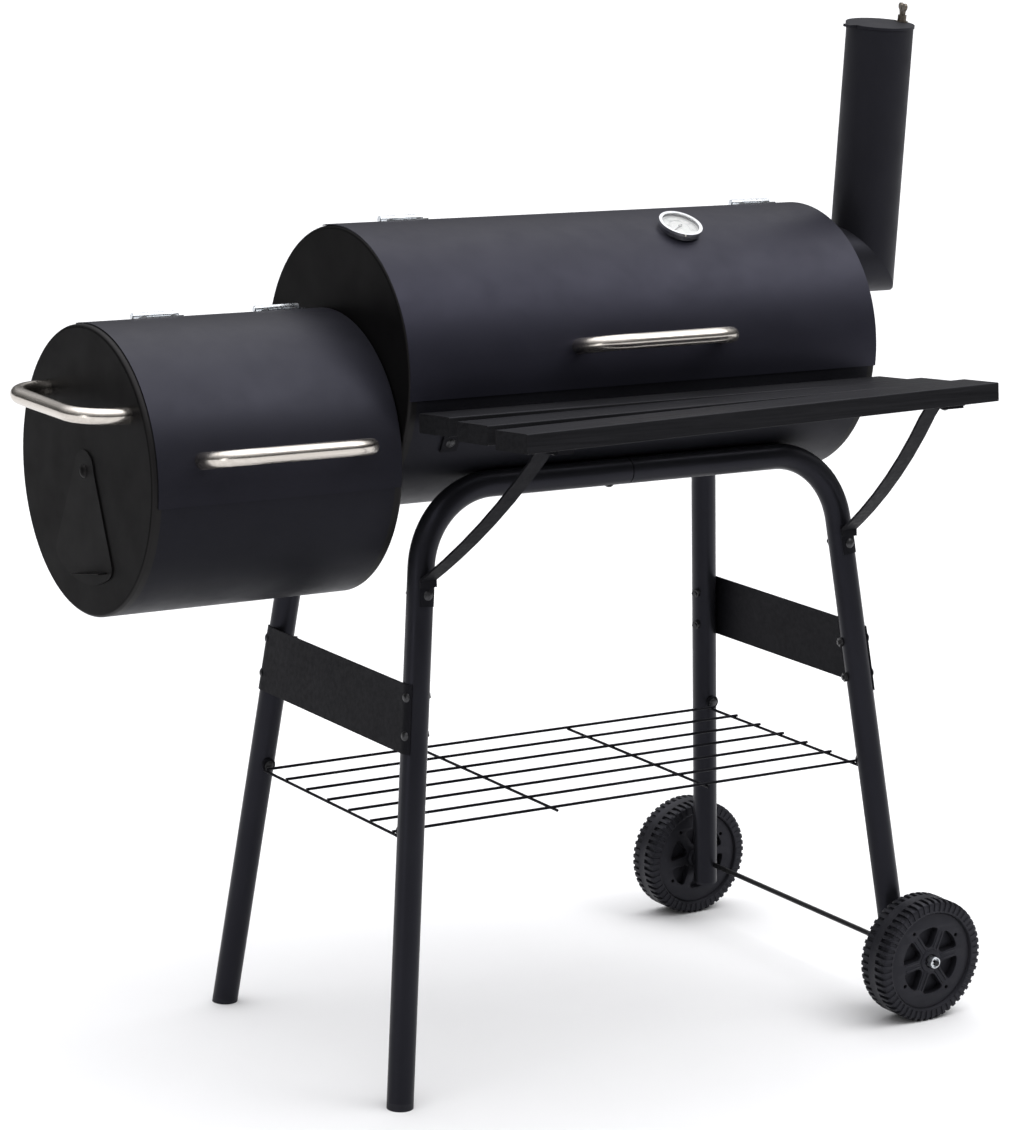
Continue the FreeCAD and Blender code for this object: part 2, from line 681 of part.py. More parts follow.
flange_radius = 52.0
flange = cylinder(flange_radius, V(main_length, 0, stub_z), V(main_length + sheet, 0, stub_z))
stub_clear = cylinder(chimney_radius + sheet_play, V(main_length - 20, 0, stub_z),
                      V(main_length + 20, 0, stub_z))
flange = flange.cut(stub_clear)
main_right_cap = main_right_cap.cut(stub_clear)
flange_screws = []
for turn in (45, 135, 225, 315):
    seat = V(main_length + sheet, 45.5 * math.cos(rad(turn)), stub_z + 45.5 * math.sin(rad(turn)))
    flange_screws.append(bolt(seat, V(-1, 0, 0), 2.0, 2 * sheet, 4.0, 2.0, 7.0))
    flange = drill(flange, seat, V(1, 0, 0), 2.0, 12)
    main_right_cap = drill(main_right_cap, seat, V(1, 0, 0), 2.0, 12)
parts["chimney_flange"] = flange
parts["end_cap_screws"] = group(end_screws + flange_screws)


# ---------------------------------------------------------------- air vents and damper
vent_hub = V(-firebox_length, firebox_axis_y, firebox_axis_z)
for angle in vent_angles:
    centre = vent_hub.add(V(0, vent_reach * math.sin(rad(angle)), -vent_reach * math.cos(rad(angle))))
    firebox_left_cap = firebox_left_cap.cut(
        cylinder(vent_radius, centre.sub(V(10, 0, 0)), centre.add(V(10, 0, 0))))


def damper_point(reach, angle):
    """Point on the damper plate: angle from straight down, positive to the rear."""
    return vent_hub.add(V(-0.3, reach * math.sin(rad(angle)), -reach * math.cos(rad(angle))))


hub_reach = 22.0
outline = [
    Part.Arc(damper_point(hub_reach, -95), damper_point(hub_reach, 180),
             damper_point(hub_reach, 95)).toShape(),
    Part.LineSegment(damper_point(hub_reach, 95), damper_point(108, 36)).toShape(),
    Part.Arc(damper_point(108, 36), damper_point(114.5, 33.0), damper_point(damper_reach, 29)).toShape(),
    Part.Arc(damper_point(damper_reach, 29), damper_point(damper_reach, 0),
             damper_point(damper_reach, -29)).toShape(),
    Part.Arc(damper_point(damper_reach, -29), damper_point(114.5, -33.0),
             damper_point(108, -36)).toShape(),
    Part.LineSegment(damper_point(108, -36), damper_point(hub_reach, -95)).toShape(),
]
damper = Part.Face(Part.Wire(outline)).extrude(V(-damper_sheet, 0, 0))
lip_start = damper_point(109.0, 7.0)
lip_end = damper_point(109.0, -29.0)
lip_down = unit(V(0, lip_end.z - lip_start.z, lip_start.y - lip_end.y)) * -damper_sheet
lip = Part.Face(Part.makePolygon([
    lip_start, lip_end, lip_end.add(lip_down), lip_start.add(lip_down), lip_start]))
lip = lip.extrude(V(-11.0, 0, 0))
damper = damper.fuse(lip).removeSplitter()
pivot_radius = 3.0
pivot_clear = cylinder(pivot_radius + running_play, vent_hub.sub(V(20, 0, 0)), vent_hub)
parts["air_damper"] = damper.cut(pivot_clear)
pivot_seat = vent_hub.sub(V(0.3 + damper_sheet + 0.1, 0, 0))
parts["damper_pivot_screw"] = bolt(pivot_seat, V(1, 0, 0), pivot_radius,
                                   0.4 + damper_sheet + sheet, 7.0, 3.6, 10.0)
firebox_left_cap = drill(firebox_left_cap, pivot_seat, V(1, 0, 0), pivot_radius, 15)


# ---------------------------------------------------------------- grates and their ledges
ledge_span = 6.0


def ledge(x0, x1, top_z, width, axis_y, axis_z, side):
    """Angle strip spot-welded inside the shell; side is -1 in front and 1 behind."""
    inner = barrel_radius - sheet - sheet_play / 2.0
    drop = math.degrees(math.acos((top_z - axis_z) / inner))
    a0, a1 = (drop - ledge_span, drop) if side < 0 else (-drop, ledge_span - drop)
    strip = ring_sector(inner - sheet, inner, a0, a1, x0, x1, axis_y, axis_z)
    edge = math.sqrt((inner - 0.3) ** 2 - (top_z - sheet - axis_z) ** 2)
    y_low = axis_y + (-edge if side < 0 else edge - width)
    shelf = Part.makeBox(x1 - x0, width, sheet, V(x0, y_low, top_z - sheet))
    return strip.fuse(shelf).removeSplitter()


def grate(x0, x1, half, base_z, axis_y, pitch, frame_rod, rod):
    """Welded rod grate whose frame rests at base_z."""
    frame_z = base_z + frame_rod
    rod_z = frame_z + frame_rod + rod - 0.6
    bars = [cylinder(frame_rod, V(x0, axis_y + y, frame_z), V(x1, axis_y + y, frame_z))
            for y in (-half, 0.0, half)]
    count = int((x1 - x0 - 16.0) / pitch)
    first = (x0 + x1 - count * pitch) / 2.0
    reach = half + frame_rod
    for index in range(count + 1):
        x = first + index * pitch
        bars.append(cylinder(rod, V(x, axis_y - reach, rod_z), V(x, axis_y + reach, rod_z)))
    return bars[0].fuse(bars[1:])


cooking_z = main_axis_z - 25.0
coal_z = main_axis_z - 88.0
ledges = [
    ledge(30, main_length - 30, z, width, 0, main_axis_z, side)
    for z, width in ((cooking_z, 16.0), (coal_z, 20.0)) for side in (-1, 1)]
parts["main_cooking_grate"] = grate(32, main_length - 32, 134, cooking_z + 0.1, 0, 14.0, 3.0, 2.0)
parts["main_charcoal_grate"] = grate(36, main_length - 36, 106, coal_z + 0.1, 0, 18.0, 3.0, 2.5)
fire_coal_z = firebox_axis_z - 88.0
fire_cook_z = firebox_axis_z - 25.0
ledges += [
    ledge(-firebox_length + 30, -30, z, width, firebox_axis_y, firebox_axis_z, side)
    for z, width in ((fire_cook_z, 16.0), (fire_coal_z, 20.0)) for side in (-1, 1)]
parts["grate_ledges"] = group(ledges)
parts["firebox_cooking_grate"] = grate(-firebox_length + 36, -54, 134, fire_cook_z + 0.1,
                                       firebox_axis_y, 14.0, 3.0, 2.0)
parts["firebox_charcoal_grate"] = grate(-firebox_length + 36, -36, 106, fire_coal_z + 0.1,
                                        firebox_axis_y, 18.0, 3.0, 2.5)


# ---------------------------------------------------------------- feet and leg ends
foot_caps, end_plugs = [], []
for side in (-1, 1):
    base = leg_point(-12.0, "left", side)
    tube_end = leg_point(left_leg_end_z, "left", side)
    cap = cylinder(tube_radius, base, tube_end)
    cap = cap.fuse(cylinder(tube_radius - tube_wall - running_play, tube_end,
                            leg_point(foot_plug_depth, "left", side)))
    cap = cap.cut(Part.makeBox(200, 200, 100, V(base.x - 100, base.y - 100, -100)))
    foot_caps.append(cap.removeSplitter())
    end = leg_point(right_leg_end_z, "right", side)
    up = unit(leg_point(100, "right", side).sub(end))
    plug = cylinder(tube_radius, end.sub(up * 3.0), end)
    plug = plug.fuse(cylinder(tube_radius - tube_wall - running_play, end, end.add(up * 9.0)))
    end_plugs.append(plug.removeSplitter())
parts["leg_end_caps"] = group(foot_caps + end_plugs)

joint_screws = []
for side, row in ((-1, "front"), (1, "rear")):
    y = leg_y(run_z, side)
    seat = V(frame_joint_x - 22.0, y, run_z - tube_radius)
    joint_screws.append(screw(seat, V(0, 0, 1), 2.5, 8.0, 5.0, 2.4))
    for name in (row + "_left_leg", row + "_right_leg"):
        parts[name] = parts[name].cut(
            cylinder(2.5 + sheet_play, seat.sub(V(0, 0, 4)), seat.add(V(0, 0, 9))))


# ---------------------------------------------------------------- side plates
def side_plate(end):
    """Sheet tying the two legs of one end, wrapped round the outside of both tubes."""
    sign = -1.0 if end == "left" else 1.0
    lean = left_lean if end == "left" else right_lean
    normal = unit(V(1.0, 0, -lean)) * sign
    inner = tube_radius + 0.1
    outer = inner + plate_sheet
    corners = [leg_point(z, end, side).add(normal * inner)
               for z, side in ((350, -1), (350, 1), (470, 1), (470, -1), (350, -1))]
    plate = Part.Face(Part.makePolygon(corners)).extrude(normal * plate_sheet)
    for side in (-1, 1):
        low = leg_point(340, end, side)
        high = leg_point(480, end, side)
        axis = unit(high.sub(low))
        tangent = axis.cross(normal)
        if tangent.y * side < 0:
            tangent = tangent * -1.0
        turns = [plate_wrap_angle * step / 3.0 for step in range(4)]
        rim = [low.add((normal * math.cos(rad(t)) + tangent * math.sin(rad(t))) * 40.0)
               for t in turns]
        wedge = Part.Face(Part.makePolygon([low] + rim + [low])).extrude(high.sub(low))
        ring = cylinder(outer, low, high).cut(cylinder(inner, low, high))
        plate = plate.fuse(ring.common(wedge))
    keep = Part.makeBox(2000, 1000, plate_high_z - plate_low_z, V(-500, -500, plate_low_z))
    return plate.common(keep).removeSplitter(), normal


plate_bolts = []
for end in ("left", "right"):
    plate, normal = side_plate(end)
    for side in (-1, 1):
        for z in (389.0, 429.0):
            centre = leg_point(z, end, side)
            axis = unit(leg_point(z + 100, end, side).sub(centre))
            tangent = axis.cross(normal)
            if tangent.y * side < 0:
                tangent = tangent * -1.0
            out = normal * math.cos(rad(18)) + tangent * math.sin(rad(18))
            seat = centre.add(out * (tube_radius + 0.1 + plate_sheet))
            row = "front" if side < 0 else "rear"
            name = row + "_" + end + "_leg"
            plate_bolts.append(bolt(seat, out * -1.0, 2.5, 2 * tube_radius + seat_play + plate_sheet,
                                    5.0, 1.9, 9.0))
            plate = drill(plate, seat, out, 2.5, 10)
            parts[name] = drill(parts[name], seat, out, 2.5, 45)
    parts[end + "_side_plate"] = plate


# ---------------------------------------------------------------- wire shelf
loop_radius = 6.5
wires = []
lift = 2 * wire_radius + 0.02
first_x = shelf_cross_x[0]
last_x = shelf_cross_x[-1]
step = 2.0 * shelf_half_width / (shelf_wire_count - 1)
for index in range(shelf_wire_count):
    y = -shelf_half_width + index * step
    wires.append(cylinder(wire_radius, V(first_x - 2, y, shelf_wire_z + lift),
                          V(last_x + 2, y, shelf_wire_z + lift)))
loops = []
wire_screws = []
loop_inset = tube_radius + seat_play + wire_radius
for x in shelf_cross_x[1:-1]:
    reach = shelf_half_width + 4.0
    wires.append(cylinder(wire_radius, V(x, -reach, shelf_wire_z), V(x, reach, shelf_wire_z)))
for end, x in (("left", first_x), ("right", last_x)):
    offset = leg_x(shelf_wire_z + loop_radius, end) - x
    rise = math.sqrt((loop_radius + 1.3) ** 2 - offset ** 2)
    for side, row in ((-1, "front"), (1, "rear")):
        at_leg = leg_point(shelf_wire_z + rise + splay_slope * loop_inset, end, side)
        out = square_to_leg(at_leg.z, end, side, V(0, side, 0))
        centre = at_leg.sub(out * loop_inset)
        loops.append(Part.makeTorus(loop_radius, wire_radius, centre, out))
        seat = centre.sub(out * (wire_radius + sheet_play))
        wire_screws.append(screw(seat, out, 2.5, 12.0, 5.4, 1.8))
        name = row + "_" + end + "_leg"
        parts[name] = drill(parts[name], seat, out, 2.5, 13)
    reach = abs(centre.y) + splay_slope * rise - wire_radius - 0.3
    wires.append(cylinder(wire_radius, V(x, -reach, shelf_wire_z), V(x, reach, shelf_wire_z)))
parts["wire_shelf"] = group(wires + loops)
parts["stand_frame_bolts"] = group(plate_bolts + wire_screws)


# ---------------------------------------------------------------- front shelf
def bent_bar(points, thick, x0, x1):
    """Flat bar following a polyline in the YZ plane, thickened on its lower front side."""
    inner = [V(0, y, z) for y, z in points]
    runs = [unit(after.sub(before)) for before, after in zip(inner, inner[1:])]
    squares = [V(0, run.z, -run.y) * -1.0 for run in runs]
    outer = []
    for point, before, after in zip(inner, squares[:1] + squares, squares + squares[-1:]):
        mitre_line = unit(before.add(after))
        outer.append(point.add(mitre_line * (thick / mitre_line.dot(after))))
    ring = inner + outer[::-1] + [inner[0]]
    bar = Part.Face(Part.makePolygon(ring)).extrude(V(x1 - x0, 0, 0))
    bar.translate(V(x0, 0, 0))
    return bar


shelf_bolts, slat_screws, arms = [], [], {}
slat_centres = [slat_front_y + slat_width / 2.0 + index * slat_pitch for index in range(3)]
rails = (("left", slat_left_x + rail_inset), ("right", slat_left_x + slat_length - rail_inset))


def arm_top(end, y):
    """Height of a shelf arm's upper face."""
    front = rail_front_z[0] if end == "left" else rail_front_z[1]
    share = (y - slat_centres[2]) / (slat_centres[0] - slat_centres[2])
    return rail_rear_z + (front - rail_rear_z) * share


for end, x in rails:
    x0 = x - rail_width / 2.0
    x1 = x + rail_width / 2.0
    y_front = slat_front_y + 8.0
    arm = Part.Face(Part.makePolygon([
        V(x0, y_front, arm_top(end, y_front)),
        V(x0, -130.0, arm_top(end, -130.0)),
        V(x0, -130.0, arm_top(end, -130.0) - rail_thick),
        V(x0, y_front, arm_top(end, y_front) - rail_thick),
        V(x0, y_front, arm_top(end, y_front))])).extrude(V(rail_width, 0, 0))
    tab = ring_sector(barrel_radius + 0.1, barrel_radius + 0.1 + rail_thick, 106.5, 118.0,
                      x0, x1, 0, main_axis_z)
    arm = arm.fuse(tab)
    arm = arm.cut(cylinder(barrel_radius + 0.1, V(x0 - 5, 0, main_axis_z),
                           V(x1 + 5, 0, main_axis_z)))
    arm = arm.removeSplitter()
    tab_seat = barrel_point(barrel_radius + 0.1 + rail_thick, 114.0, 0, main_axis_z, x)
    inward = radial(114.0) * -1.0
    grip = rail_thick + sheet + 2 * seat_play
    shelf_bolts.append(bolt(tab_seat, inward, 2.5, grip, 5.5, 2.6, 9.0))
    arm = drill(arm, tab_seat, inward, 2.5, 8)
    main_shell = drill(main_shell, tab_seat, inward, 2.5, 16)
    arms[end] = arm

tab_half_angle = 32.0
tab_thick = 2.0
strut_sag = 9.0
for end, x in rails:
    tab_z = tab_heights[end]
    foot = leg_point(tab_z, end, -1)
    leg_axis = unit(leg_point(tab_z + 100, end, -1).sub(foot))
    forward = square_to_leg(tab_z, end, -1, V(0, -1, 0))
    across = leg_axis.cross(forward)
    tab_low = foot.sub(leg_axis * 18.0)
    tab_run = leg_axis * 32.0
    turns = [-tab_half_angle, -tab_half_angle / 2, 0, tab_half_angle / 2, tab_half_angle]
    rim = [tab_low.add((forward * math.cos(rad(t)) + across * math.sin(rad(t))) * 40.0) for t in turns]
    wedge = Part.Face(Part.makePolygon([tab_low] + rim + [tab_low])).extrude(tab_run)
    tab_inner = tube_radius + 0.15
    tab = cylinder(tab_inner + tab_thick, tab_low, tab_low.add(tab_run))
    tab = tab.cut(cylinder(tab_inner, tab_low, tab_low.add(tab_run))).common(wedge)
    start = foot.add(leg_axis * 2.0).add(forward * (tab_inner + 0.35))
    bend = foot.add(leg_axis * 11.0).add(forward * (tab_inner + 0.35))
    top_y = -312.0
    top_z = arm_top(end, top_y) - rail_thick - 0.1
    end_y = slat_front_y + 10.0
    end_z = arm_top(end, end_y) - rail_thick - 0.1
    path = [(start.y, start.z), (bend.y, bend.z)]
    run = V(0, top_y - bend.y, top_z - bend.z)
    below = unit(V(0, run.z, -run.y)) * -1.0
    for share in (0.08, 0.2, 0.35, 0.5, 0.65, 0.8, 0.92):
        sag = strut_sag * 4.0 * share * (1.0 - share)
        path.append((bend.y + run.y * share + below.y * sag, bend.z + run.z * share + below.z * sag))
    path.append((top_y, top_z))
    path.append((end_y, end_z))
    strut = bent_bar(path, strut_thick, x - 60.0, x + 60.0)
    half = rail_width / 2.0
    band = [V(foot.x, 0, tab_z - 40), V(foot.x, 0, tab_z + 12), V(x, 0, top_z - 14), V(x, 0, top_z + 30)]
    ring = [p.sub(V(half, 0, 0)) for p in band] + [p.add(V(half, 0, 0)) for p in band[::-1]]
    ring = [p.add(V(0, -500, 0)) for p in ring]
    strut = strut.common(Part.Face(Part.makePolygon(ring + [ring[0]])).extrude(V(0, 600, 0)))
    strut = strut.fuse(tab).removeSplitter()
    seat = foot.add(forward * (tab_inner + tab_thick)).sub(leg_axis * 6.0)
    grip = 2 * tube_radius + tab_thick + 2 * seat_play
    shelf_bolts.append(bolt(seat, forward * -1.0, 3.0, grip, 5.5, 2.0, 10.0))
    strut = drill(strut, seat, forward, 3.0, 20)
    name = "front_" + end + "_leg"
    parts[name] = drill(parts[name], seat, forward, 3.0, 60)
    parts[end + "_shelf_strut"] = strut

for index, row in enumerate(("front", "middle", "rear")):
    y = slat_centres[index]
    left_z = arm_top("left", y)
    right_z = arm_top("right", y)
    span = slat_length - 2.0 * rail_inset
    rise = math.atan((right_z - left_z) / span)
    slope = math.atan((arm_top("left", y) - arm_top("left", y + 50) +
                       arm_top("right", y) - arm_top("right", y + 50)) / 100.0)
    board = Part.makeBox(slat_length, slat_width, slat_thick,
                         V(-slat_length / 2.0, -slat_width / 2.0, 0))
    long_edges = [e for e in board.Edges if e.BoundBox.XLength > slat_length - 1]
    board = board.makeFillet(1.5, long_edges)
    turn = FreeCAD.Rotation(V(0, 1, 0), -math.degrees(rise)).multiply(
        FreeCAD.Rotation(V(1, 0, 0), -math.degrees(slope)))
    middle_x = slat_left_x + slat_length / 2.0
    board.Placement = FreeCAD.Placement(V(middle_x, y, (left_z + right_z) / 2.0 - 0.2), turn)
    for end, x in rails:
        board = board.cut(arms[end])
        under = rail_thick + strut_thick + 0.1 if index == 0 else rail_thick
        square = unit(V(0, arm_top(end, y - 1.0) - arm_top(end, y), 1.0))
        seat = V(x, y, arm_top(end, y)).sub(square * (under + seat_play))
        slat_screws.append(screw(seat, square, 2.5, 20.0, 5.0, 2.4))
        board = board.cut(cylinder(2.5 + running_play, seat, seat.add(square * 20.5)))
        arms[end] = drill(arms[end], seat, square, 2.5, 18)
        if index == 0:
            strut_name = end + "_shelf_strut"
            parts[strut_name] = drill(parts[strut_name], seat, square, 2.5, 6)
    parts[row + "_shelf_slat"] = board
parts["left_shelf_arm"] = arms["left"]
parts["right_shelf_arm"] = arms["right"]
parts["shelf_bracket_bolts"] = group(shelf_bolts)
parts["stand_and_slat_screws"] = group(joint_screws + slat_screws)


# ---------------------------------------------------------------- axle and wheels
axle_end = wheel_outer_y + 8.5
axle = cylinder(axle_radius, V(axle_x, -axle_end, axle_z), V(axle_x, axle_end, axle_z))
clips, washers = [], []
pin_radius = 1.0
ring_radius = 5.6
clip_clear = 5.2
for side, row in ((-1, "front"), (1, "rear")):
    # Ring clip: a cross pin through the axle end, held by a wire ring
    clip_middle = V(axle_x, side * (wheel_outer_y + clip_clear), axle_z)
    pin_reach = V(ring_radius, 0, 0)
    pin_start = clip_middle.sub(pin_reach)
    pin_end = clip_middle.add(pin_reach)
    clip = Part.makeTorus(ring_radius, pin_radius, clip_middle, V(0, 1, 0))
    clips.append(clip.fuse(cylinder(pin_radius, pin_start, pin_end)).removeSplitter())
    axle = axle.cut(cylinder(pin_radius + running_play, pin_start, pin_end))
    hub_face = wheel_outer_y - hub_recess
    inner_gap = side * (wheel_inner_y - 1.2)
    outer_gap = side * (hub_face + 0.4)
    washers.append(cylinder(7.0, V(axle_x, inner_gap, axle_z),
                            V(axle_x, inner_gap + side * 0.9, axle_z)))
    washers.append(cylinder(6.5, V(axle_x, outer_gap, axle_z),
                            V(axle_x, side * (wheel_outer_y + 3.8), axle_z)))
    leg_name = row + "_right_leg"
    parts[leg_name] = parts[leg_name].cut(
        cylinder(axle_radius + running_play, V(axle_x, side * 150, axle_z),
                 V(axle_x, side * 230, axle_z)))
axle_clear = cylinder(axle_radius + running_play, V(axle_x, -300, axle_z), V(axle_x, 300, axle_z))
parts["axle"] = axle
parts["axle_washers_and_clips"] = group([w.cut(axle_clear) for w in washers] + clips)


wheel_lugs = 26
wheel_pockets = 6
wheel_holes = 4
rim_thick = 9.0
web_recess = 3.5
web_thick = 36.0
pocket_depth = 10.0


def wheel(side):
    """Moulded wheel: treaded rim with ribs, web with pockets and holes, long hub."""
    depth = wheel_outer_y - wheel_inner_y
    rim_in = wheel_radius - rim_thick
    web_top = depth - web_recess
    hub_top = depth - hub_recess
    web_back = web_top - web_thick
    profile = [
        (axle_radius + running_play, 0.0), (11.0, 0.0), (11.0, web_back),
        (rim_in, web_back), (rim_in, 1.5), (wheel_radius - 3.5, 0.0),
        (wheel_radius, 4.0), (wheel_radius, depth - 4.0), (wheel_radius - 3.5, depth - 1.0),
        (rim_in - 4.0, depth - 1.0), (rim_in - 6.0, web_top), (13.0, web_top),
        (11.0, hub_top), (axle_radius + running_play, hub_top)]
    ring = [V(r, 0, z) for r, z in profile]
    body = Part.Face(Part.makePolygon(ring + [ring[0]])).revolve(V(0, 0, 0), V(0, 0, 1), 360)
    tools = []
    floor = web_top - pocket_depth
    back_floor = web_back + pocket_depth
    for index in range(wheel_pockets):
        inner, outer, half = 15.5, 37.5, 24.0
        pocket = Part.makeCylinder(outer, depth, V(0, 0, floor), V(0, 0, 1), 2 * half)
        pocket = pocket.cut(Part.makeCylinder(inner, 2 * depth))
        pocket.rotate(V(0, 0, 0), V(0, 0, 1), index * 60.0 - half + 30.0)
        back_pocket = pocket.copy()
        back_pocket.translate(V(0, 0, back_floor - floor - depth))
        tools += [pocket, back_pocket]
    for index in range(wheel_holes):
        turn = rad(index * 90.0 + 15.0)
        spot = V(42.0 * math.cos(turn), 42.0 * math.sin(turn), floor)
        tools.append(Part.makeCylinder(2.2, depth, spot))
    for index in range(wheel_lugs):
        for row, offset in ((0, 0.0), (1, 0.5)):
            groove = Part.makeBox(8.0, 5.4, 15.5, V(wheel_radius - 3.0, -2.7, row * (depth - 15.5)))
            groove.rotate(V(0, 0, 0), V(0, 0, 1), (index + offset) * 360.0 / wheel_lugs)
            tools.append(groove)
    body = body.cut(group(tools))
    ribs = []
    for index in range(wheel_lugs):
        rib = Part.makeBox(7.0, 2.0, 2.0, V(59.0, -1.0, depth - 2.6))
        rib.rotate(V(0, 0, 0), V(0, 0, 1), (index + 0.5) * 360.0 / wheel_lugs)
        ribs.append(rib)
    body = body.fuse(ribs)
    body.Placement = FreeCAD.Placement(V(axle_x, side * wheel_inner_y, axle_z),
                                       FreeCAD.Rotation(V(0, 0, 1), V(0, side, 0)))
    return body


parts["front_wheel"] = wheel(-1)
parts["rear_wheel"] = wheel(1)


# ---------------------------------------------------------------- shells, lids and caps
parts["main_body"] = main_shell
parts["main_left_end_cap"] = main_left_cap
parts["main_right_end_cap"] = main_right_cap
parts["main_lid"] = main_lid
parts["firebox_body"] = firebox_shell
parts["firebox_left_end_cap"] = firebox_left_cap
parts["firebox_right_end_cap"] = firebox_right_cap
parts["firebox_lid"] = firebox_lid


# ---------------------------------------------------------------- placing and writing
def whole_box(shapes):
    boxes = [shape.optimalBoundingBox(False, False) for shape in shapes]
    total = boxes[0]
    for box in boxes[1:]:
        total.add(box)
    return total


overall = whole_box(list(parts.values()))
SHIFT = V(-(overall.XMin + overall.XMax) / 2.0, -(overall.YMin + overall.YMax) / 2.0, -overall.ZMin)

os.makedirs("parts", exist_ok=True)
for node in sorted(parts):
    shape = parts[node].copy()
    shape.translate(SHIFT)
    shape.exportStep("parts/" + node + ".step")
print("shift", SHIFT.x, SHIFT.y, SHIFT.z)
print("size", overall.XLength, overall.YLength, overall.ZLength, "nodes", len(parts))
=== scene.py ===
import json
import math

import bmesh
import bpy
from mathutils import Matrix, Vector


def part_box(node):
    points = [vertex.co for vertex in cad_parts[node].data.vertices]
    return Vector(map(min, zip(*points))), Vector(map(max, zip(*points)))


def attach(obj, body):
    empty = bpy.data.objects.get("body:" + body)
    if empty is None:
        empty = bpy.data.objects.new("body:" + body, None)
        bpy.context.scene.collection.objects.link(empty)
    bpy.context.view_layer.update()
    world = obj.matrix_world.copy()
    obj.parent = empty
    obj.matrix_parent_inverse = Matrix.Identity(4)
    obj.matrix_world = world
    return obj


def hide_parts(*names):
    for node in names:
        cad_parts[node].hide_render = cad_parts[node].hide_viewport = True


# Offset barrel smoker: finishes, moulded wheels, printed dial, studio and camera.
# Metres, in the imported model's frame: +X to the chimney, -Y to the front shelf, +Z up.

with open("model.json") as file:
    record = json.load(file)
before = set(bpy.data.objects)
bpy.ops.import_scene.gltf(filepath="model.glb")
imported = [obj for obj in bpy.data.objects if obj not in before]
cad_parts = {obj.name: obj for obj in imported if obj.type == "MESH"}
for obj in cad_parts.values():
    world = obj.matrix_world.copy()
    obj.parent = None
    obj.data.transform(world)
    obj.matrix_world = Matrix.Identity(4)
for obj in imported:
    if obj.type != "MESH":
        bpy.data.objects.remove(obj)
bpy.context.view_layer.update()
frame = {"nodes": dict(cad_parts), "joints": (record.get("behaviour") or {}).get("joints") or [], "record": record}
nodes = frame["nodes"]
joints = {joint["name"]: joint for joint in frame["joints"]}


